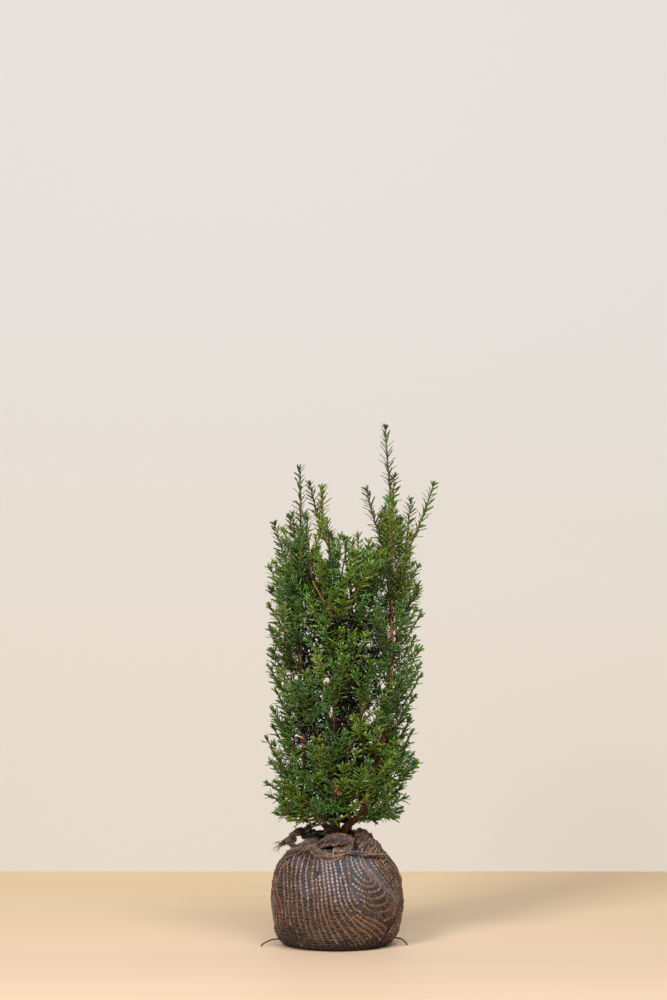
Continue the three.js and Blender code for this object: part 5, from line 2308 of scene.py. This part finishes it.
    def _all_columns(self, yarn: MeshBatch, threads: MeshBatch) -> None:
        """Knits every column, and the ladder threads between them.

        Args:
            yarn: Where the columns go.
            threads: Where the ladder threads go.
        """
        taken = np.full((1, 3), FAR_AWAY)
        for family in self.guides():
            runs, taken = self.columns(family, taken)
            for turn, height in runs:
                path = self.surface(turn, height)
                slate, mud, orange = self.zones(path)
                bead = np.clip(0.12 + slate + 0.25 * orange * (1 - mud), 0, 1)
                soil = -0.25 if orange.mean() > 0.3 else 0.0
                yarn.add(*self.knit(path, self.normals(turn, height), bead, soil))
            self.ladders(family, threads)
        turn, height = self.seen(self.CRIMSON, self.guide_points)
        path = self.surface(turn, height, 0.0010)
        bead = np.full(self.guide_points, 0.7)
        yarn.add(*self.knit(path, self.normals(turn, height), bead, 0.0, YarnTone.CRIMSON))

    def build(self, effects: Effects) -> list[bpy.types.Material]:
        """Builds and dresses the ball.

        Args:
            effects: The shared shader groups.

        Returns:
            The yarn's materials, in the order of its tones.
        """
        surface = MeshBatch()
        surface.add(*self.cloth())
        weave = {"scale": 160, "softness": 0.2, "relief_scale": 650, "relief_depth": 0.0012}
        grounds = [
            MottledFinish(*ground.value, 0.94, **weave).material(f"cloth_{ground.name.lower()}", effects)
            for ground in Ground
        ]
        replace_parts(surface.build("ball_cloth", grounds, "hessian"), "root_ball")
        yarn, threads, loose = MeshBatch(), MeshBatch(), MeshBatch()
        self._all_columns(yarn, threads)
        self._all_lint(loose)
        tones = [
            PlainFinish(tone.value, 0.9, sheen=0.10).material(f"yarn_{tone.name.lower()}", effects)
            for tone in YarnTone
        ]
        for batch, name in ((yarn, "ball_columns"), (threads, "ball_ladders"), (loose, "ball_lint")):
            batch.build(name, tones, "hessian")
        self.fallen(effects)
        return tones


@dataclass(frozen=True)
class Roll:
    """A roll or fold of gathered cloth: its route and radii.

    Wales run along it and turn round it by the twist. Wound says how many rings of
    yarn go round it instead, and tilt how far their right side lies up the roll.
    """

    route: tuple[tuple[float, float, float], ...]
    radii: tuple[float, ...]
    wales: int = 12
    twist: float = 1.2
    wound: int = 0
    tilt: float = 0.0
    soil: float = 0.0
    bead: float = 0.3
    creases: int = 5


ROLLS = {
    "hessian_fold_right": (
        Roll(
            ((0.038, -0.004, 0.194), (0.043, -0.016, 0.184), (0.049, -0.028, 0.170), (0.054, -0.034, 0.155),
             (0.062, -0.036, 0.134)),
            (0.005, 0.013, 0.019, 0.025, 0.028),
            wales=0, wound=15, tilt=0.22, soil=0.02, bead=0.45, creases=3,
        ),
        Roll(
            ((0.008, -0.074, 0.159), (0.026, -0.074, 0.1625), (0.050, -0.070, 0.161), (0.063, -0.064, 0.158),
             (0.074, -0.054, 0.157), (0.080, -0.040, 0.156)),
            (0.0016, 0.0021, 0.0022, 0.0020, 0.0016, 0.0012),
            wales=2, twist=5.0, soil=0.05, bead=0.55, creases=2,
        ),
    ),
    "hessian_knot_front": (
        Roll(
            ((-0.030, -0.048, 0.173), (-0.018, -0.055, 0.178), (-0.004, -0.059, 0.1845),
             (0.010, -0.058, 0.1855), (0.020, -0.058, 0.181), (0.0225, -0.060, 0.173),
             (0.015, -0.063, 0.166), (0.003, -0.064, 0.1645), (-0.006, -0.064, 0.168)),
            (0.0050, 0.0075, 0.0085, 0.0084, 0.0078, 0.0074, 0.0066, 0.0056, 0.0040),
            wales=8, twist=3.2, soil=-0.12, bead=0.15, creases=5,
        ),
        Roll(
            ((0.014, -0.066, 0.179), (0.008, -0.068, 0.181), (0.0, -0.067, 0.179), (-0.003, -0.065, 0.173)),
            (0.0042, 0.0052, 0.0050, 0.0036),
            wales=4, twist=3.0, soil=0.3, bead=0.15, creases=4,
        ),
    ),
    "hessian_lip_front": (
        Roll(
            ((-0.044, -0.058, 0.172), (-0.036, -0.068, 0.166), (-0.024, -0.077, 0.159),
             (-0.011, -0.080, 0.1545), (0.001, -0.080, 0.154), (0.010, -0.077, 0.1585)),
            (0.0045, 0.0066, 0.0072, 0.0068, 0.0056, 0.003),
            wales=7, twist=1.8, bead=0.15, creases=5,
        ),
    ),
    "hessian_ear_left": (
        Roll(
            ((-0.030, -0.006, 0.180), (-0.042, -0.010, 0.184), (-0.053, -0.012, 0.190),
             (-0.060, -0.013, 0.194)),
            (0.008, 0.011, 0.0095, 0.005),
            wales=6, twist=2.0, soil=0.5, bead=0.1, creases=7,
        ),
        Roll(
            ((-0.056, -0.013, 0.195), (-0.068, -0.016, 0.191), (-0.077, -0.018, 0.183),
             (-0.087, -0.020, 0.176), (-0.097, -0.021, 0.169)),
            (0.0058, 0.0050, 0.0044, 0.0040, 0.0026),
            wales=4, twist=7.0, soil=0.55, bead=0.1, creases=3,
        ),
        Roll(
            ((-0.070, -0.026, 0.168), (-0.080, -0.025, 0.176), (-0.077, -0.022, 0.181),
             (-0.068, -0.020, 0.178)),
            (0.004, 0.0050, 0.0048, 0.0034),
            wales=5, twist=3.0, soil=0.42, bead=0.1, creases=3,
        ),
        Roll(
            ((-0.088, -0.024, 0.146), (-0.074, -0.036, 0.157), (-0.058, -0.042, 0.165),
             (-0.040, -0.050, 0.168)),
            (0.006, 0.009, 0.0105, 0.010),
            wales=6, twist=1.0, soil=0.2, bead=0.25, creases=4,
        ),
        Roll(
            ((-0.058, -0.030, 0.170), (-0.046, -0.040, 0.174), (-0.034, -0.046, 0.175),
             (-0.022, -0.048, 0.176)),
            (0.006, 0.0085, 0.009, 0.007),
            wales=6, twist=1.6, soil=0.45, bead=0.1, creases=5,
        ),
    ),
    "hessian_roll_back": (
        Roll(
            ((0.036, 0.028, 0.178), (0.022, 0.044, 0.177), (-0.004, 0.050, 0.176), (-0.034, 0.032, 0.178)),
            (0.009, 0.013, 0.013, 0.009),
            wales=9, twist=2.0, soil=0.25, creases=6,
        ),
    ),
}

# Tufts of loose fibres: middle, count, length and heading
TUFTS = (
    ((-0.095, -0.021, 0.171), 16, 0.013, (-0.8, -0.3, -0.7)),
    ((-0.070, -0.020, 0.190), 5, 0.010, (-0.8, 0, 0.5)),
    ((-0.034, -0.066, 0.174), 9, 0.022, (-0.9, -0.4, -0.6)),
    ((0.008, -0.080, 0.160), 7, 0.012, (0.3, -0.7, -0.8)),
    ((0.036, -0.010, 0.192), 7, 0.007, (-0.2, -0.4, 0.8)),
    ((-0.010, -0.058, 0.188), 7, 0.008, (-0.4, -0.4, 0.8)),
    ((-0.046, -0.060, 0.172), 7, 0.020, (-0.8, -0.4, -0.6)),
    ((0.070, -0.050, 0.160), 8, 0.006, (0.5, -0.6, 0.2)),
)


@dataclass
class Collar:
    """The gathered cloth on the ball's shoulder, whose yarn is knitted as the ball's is."""

    ball: RootBall
    stations: int = 80
    sides: int = 48
    rounded: float = 0.05
    least_end: float = 0.3
    crease_depth: float = 0.13
    wrinkle_share: float = 0.12
    wrinkle_most: float = 0.0018
    wrinkle_fine: float = 0.0005
    wale_sway: float = 0.25
    ring_sway: float = 0.010
    ring_room: float = 0.6
    tuft_size: float = 0.0025
    tuft_spread: float = 0.45
    tuft_curl: float = 0.2
    fibre_radius: float = 0.00045
    fibre_points: int = 7
    fibre_sides: int = 4
    wrinkle: Ripple = field(init=False)
    fine: Ripple = field(init=False)

    def __post_init__(self) -> None:
        """Draws the noise."""
        self.wrinkle = Ripple(0.016, 31)
        self.fine = Ripple(0.006, 32)

    def _skin(self, roll: Roll) -> tuple[np.ndarray, np.ndarray, np.ndarray]:
        """A roll's cloth.

        Args:
            roll: The roll.

        Returns:
            Its middle line, vertices and triangles.
        """
        share = np.linspace(0, 1, self.stations)
        line = Spline(np.array(roll.route)).points(share)
        radius = np.interp(share, np.linspace(0, 1, len(roll.radii)), roll.radii)
        radius = radius * np.clip(np.minimum(share, 1 - share) / self.rounded, self.least_end, 1) ** 0.5
        turns = np.arange(self.sides) * TAU / self.sides
        spiral = np.sin(roll.creases * turns[None] + roll.twist * TAU * share[:, None] / 2)
        radii = radius[:, None] * (1 + self.crease_depth * spiral)
        beside = np.array([0.15, 0.25, 1.0])[None, None]
        skin = rings_of(sweep(line[None], radii[None], beside, self.sides)[0], self.sides)
        push = np.minimum(self.wrinkle_share * radius[:, None], self.wrinkle_most) * self.wrinkle.at(skin)
        push = push + self.wrinkle_fine * self.fine.at(skin)
        vertices, triangles = sweep(line[None], (radii + push)[None], beside, self.sides)
        return line, vertices, triangles

    def _roll(self, roll: Roll, cloth: MeshBatch, yarn: MeshBatch) -> None:
        """One roll: its cloth, and the knitted columns along or round it.

        Args:
            roll: The roll.
            cloth: Where its cloth goes.
            yarn: Where its yarn goes.
        """
        line, vertices, triangles = self._skin(roll)
        cloth.add(vertices, triangles)
        skin = rings_of(vertices, self.sides)
        share = np.linspace(0, 1, self.stations)
        for number in range(roll.wales):
            sway = self.wale_sway * np.sin(share * 9 + number * 2.4) / roll.wales
            turn = (number / roll.wales + sway + roll.twist * share / TAU) % 1
            yarn.add(*self._column(skin, line, np.arange(self.stations), turn, roll))
        middle = self.stations // 2
        right = (skin[middle, :, 0] - line[middle, 0]) / max(roll.radii)
        corner = np.arange(self.sides + 1) % self.sides
        for number in range(roll.wound):
            row = (number + 1) / (roll.wound + self.ring_room) - roll.tilt * right[corner]
            row = row + self.ring_sway * np.sin(corner * 0.7 + number)
            row = np.clip(row, 0.02, 0.99) * (self.stations - 1)
            yarn.add(*self._column(skin, line, row, np.arange(self.sides + 1) / self.sides, roll))

    def _column(
        self, skin: np.ndarray, line: np.ndarray, row: np.ndarray, turn: np.ndarray, roll: Roll
    ) -> tuple[np.ndarray, np.ndarray, np.ndarray]:
        """A knitted column over a roll.

        Args:
            skin: The roll's points by station and corner.
            line: The roll's middle line.
            row: Stations that the column passes.
            turn: Shares of a turn at those stations.
            roll: The roll.

        Returns:
            Vertices, triangles and the yarn tone of each triangle.
        """
        low, part = np.floor(row).astype(int), (row % 1)[:, None]
        high = np.minimum(low + 1, self.stations - 1)
        place = (turn % 1) * self.sides
        corner, side = place.astype(int) % self.sides, (place % 1)[:, None]
        nearby = (corner + 1) % self.sides
        below, above = (lerp(skin[station, corner], skin[station, nearby], side) for station in (low, high))
        path = lerp(below, above, part)
        normal = unit(path - lerp(line[low], line[high], part))
        return self.ball.knit(path, normal, np.full(len(path), roll.bead), roll.soil)

    def _fibres(self, tones: list[bpy.types.Material]) -> None:
        """Loose fibres and frayed ends round the collar.

        Args:
            tones: The yarn's materials.
        """
        rng = np.random.default_rng(77)
        batch = MeshBatch()
        share = np.linspace(0, 1, self.fibre_points)[None, :, None]
        common = [order(tone) for tone in (YarnTone.TAN, YarnTone.STRAW, YarnTone.STRAW)]
        common += 2 * [order(YarnTone.BROWN)]
        for centre, count, reach, way in TUFTS:
            start = np.array(centre) + rng.normal(0, self.tuft_size, (count, 3))
            heading = unit(rng.normal(0, self.tuft_spread, (count, 3)) + np.array(way))
            side = unit(np.cross(heading, rng.normal(0, 1, (count, 3))))
            length = reach * rng.uniform(0.5, 1.3, (count, 1, 1))
            lines = start[:, None] + heading[:, None] * share * length
            curl = np.sin(share * rng.uniform(1.5, 4, (count, 1, 1))) * length * self.tuft_curl
            lines = lines + side[:, None] * curl
            radii = self.fibre_radius * rng.uniform(0.6, 1.3, (count, 1, 1)) * (1.2 - share)
            vertices, triangles = sweep(lines, radii, side[:, None], self.fibre_sides)
            batch.add(vertices, triangles, np.repeat(rng.choice(common, count), triangles.shape[1]))
        batch.build("loose_fibres", tones, "hessian")

    def build(self, effects: Effects, tones: list[bpy.types.Material]) -> None:
        """Builds and dresses each fold, then its fibres.

        Args:
            effects: The shared shader groups.
            tones: The yarn's materials.
        """
        ground = MottledFinish("1f191b", "544a4a", 0.92, scale=150, relief_scale=650, relief_depth=0.0010)
        cloth_finish = ground.material("gathered_cloth", effects)
        for name, rolls in ROLLS.items():
            cloth, yarn = MeshBatch(), MeshBatch()
            for roll in rolls:
                self._roll(roll, cloth, yarn)
            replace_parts(cloth.build(f"{name}_cloth", [cloth_finish], "hessian"), name)
            yarn.build(f"{name}_yarn", tones, "hessian")
        self._fibres(tones)


@dataclass
class Wires:
    """Loose ends of the binding wire at the ball's foot."""

    radius: float = 0.0012
    pitting: float = 0.06
    stations: int = 40
    sides: int = 12
    left: tuple[tuple[float, float, float], ...] = (
        (-0.092, -0.022, 0.012), (-0.110, -0.027, 0.0105), (-0.119, -0.032, 0.007), (-0.125, -0.036, 0.004),
        (-0.127, -0.039, 0.0016),
    )
    right: tuple[tuple[float, float, float], ...] = (
        (0.094, -0.010, 0.012), (0.109, -0.014, 0.0105), (0.114, -0.017, 0.0075), (0.118, -0.020, 0.004),
        (0.120, -0.022, 0.0016),
    )

    def build(self, effects: Effects) -> None:
        """Builds and dresses both ends.

        Args:
            effects: The shared shader groups.
        """
        rust = MottledFinish(
            "1b120c", "4b3220", 0.62, scale=300, relief_scale=1500, relief_depth=0.0003, metallic=0.3
        )
        material = rust.material("rusted_wire", effects)
        for name, route in (("wire_end_left", self.left), ("wire_end_right", self.right)):
            line = Spline(np.array(route)).points(np.linspace(0, 1, self.stations))
            radii = self.radius * (1 + self.pitting * Ripple(0.004, 51).at(line))
            batch = MeshBatch()
            batch.add(*sweep(line[None], radii[None, :, None], UP[None, None], self.sides))
            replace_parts(batch.build(f"{name}_rusted", [material], "wire"), name)


@dataclass(frozen=True)
class Lamp:
    """A square soft light: its name, place, side in metres, power in watts and colour."""

    name: str
    place: tuple[float, float, float]
    size: float
    power: float
    colour: tuple[float, float, float]


@dataclass
class Studio:
    """Floor, wall, light and camera."""

    half_width: float = 4.0
    front: float = -6.0
    wall_height: float = 5.0
    floor: FadedFinish = FadedFinish(
        "d1b69a", "dec49d", axis=(0.0, 1.0, 0.0), start=-0.3, end=WALL_Y, roughness=0.6, grain=0.5
    )
    wall: FadedFinish = FadedFinish(
        "5e5953", "5c5a58", axis=(0.0, 0.0, 1.0), start=0.2, end=1.4, roughness=0.9, glow=5.65, one_sided=True
    )
    lamps: tuple[Lamp, ...] = (
        Lamp("key", (-1.7, -2.9, 2.5), 1.1, 156, (1.0, 0.985, 0.965)),
        Lamp("fill", (2.6, -2.6, 1.5), 1.3, 24, (0.96, 0.98, 1.0)),
        Lamp("top", (0.4, -1.4, 2.5), 1.2, 50, (0.90, 0.95, 1.0)),
    )
    aim: tuple[float, float, float] = (0.0, 0.0, 0.4)
    sky_colour: tuple[float, float, float, float] = (0.93, 0.96, 1.0, 1)
    sky_strength: float = 0.11

    def _backdrop(self, effects: Effects) -> None:
        """A pale floor and a cream wall, which aren't part of the plant.

        Args:
            effects: The shared shader groups.
        """
        foot = [(-self.half_width, WALL_Y, 0), (self.half_width, WALL_Y, 0)]
        near = [(x, self.front, 0) for x, _, _ in foot]
        high = [(x, y, self.wall_height) for x, y, _ in foot]
        spans = {"floor": (near + foot[::-1], self.floor), "wall": (foot + high[::-1], self.wall)}
        for name, (corners, finish) in spans.items():
            mesh = bpy.data.meshes.new(name)
            mesh.from_pydata(corners, [], [(0, 1, 2, 3)])
            mesh.materials.append(finish.material(f"{name}_finish", effects))
            placed(name, mesh)

    def _lights(self) -> None:
        """A large soft key at the upper left, a weak fill, a top light and an even sky."""
        for lamp in self.lamps:
            data = bpy.data.lights.new(lamp.name, "AREA")
            data.shape = "SQUARE"
            data.size = lamp.size
            data.energy = lamp.power
            data.color = lamp.colour
            light = placed(lamp.name, data)
            light.location = lamp.place
            way = np.array(self.aim) - np.array(lamp.place)
            lean = math.acos(-way[2] / np.linalg.norm(way))
            light.rotation_euler = (lean, 0.0, math.atan2(-way[0], way[1]))
        world = bpy.data.worlds.new("studio")
        world.use_nodes = True
        sky = world.node_tree.nodes["Background"]
        sky.inputs["Color"].default_value = self.sky_colour
        sky.inputs["Strength"].default_value = self.sky_strength
        bpy.context.scene.world = world

    def _camera(self) -> None:
        """A long lens, level and straight in front."""
        data = bpy.data.cameras.new("viewer")
        data.lens = LENS_MM
        data.sensor_width = SENSOR_MM
        viewer = placed("viewer", data)
        viewer.location = EYE
        viewer.rotation_euler = (math.pi / 2, 0.0, 0.0)
        bpy.context.scene.camera = viewer

    def build(self, effects: Effects) -> None:
        """Sets up the whole studio.

        Args:
            effects: The shared shader groups.
        """
        self._backdrop(effects)
        self._lights()
        self._camera()
        bpy.context.scene.view_settings.view_transform = "Standard"


def main() -> None:
    """Builds and dresses everything."""
    logging.basicConfig(level=logging.INFO, format="%(message)s")
    effects = Effects()
    Studio().build(effects)
    crown = Crown()
    growth = Growth(crown)
    LOG.info("%d shoots", len(growth.shoots))
    Woody(growth).build(effects)
    Needles(growth, crown).build(effects)
    ball = RootBall()
    yarn_materials = ball.build(effects)
    Collar(ball).build(effects, yarn_materials)
    Wires().build(effects)


if __name__ == "__main__":
    main()
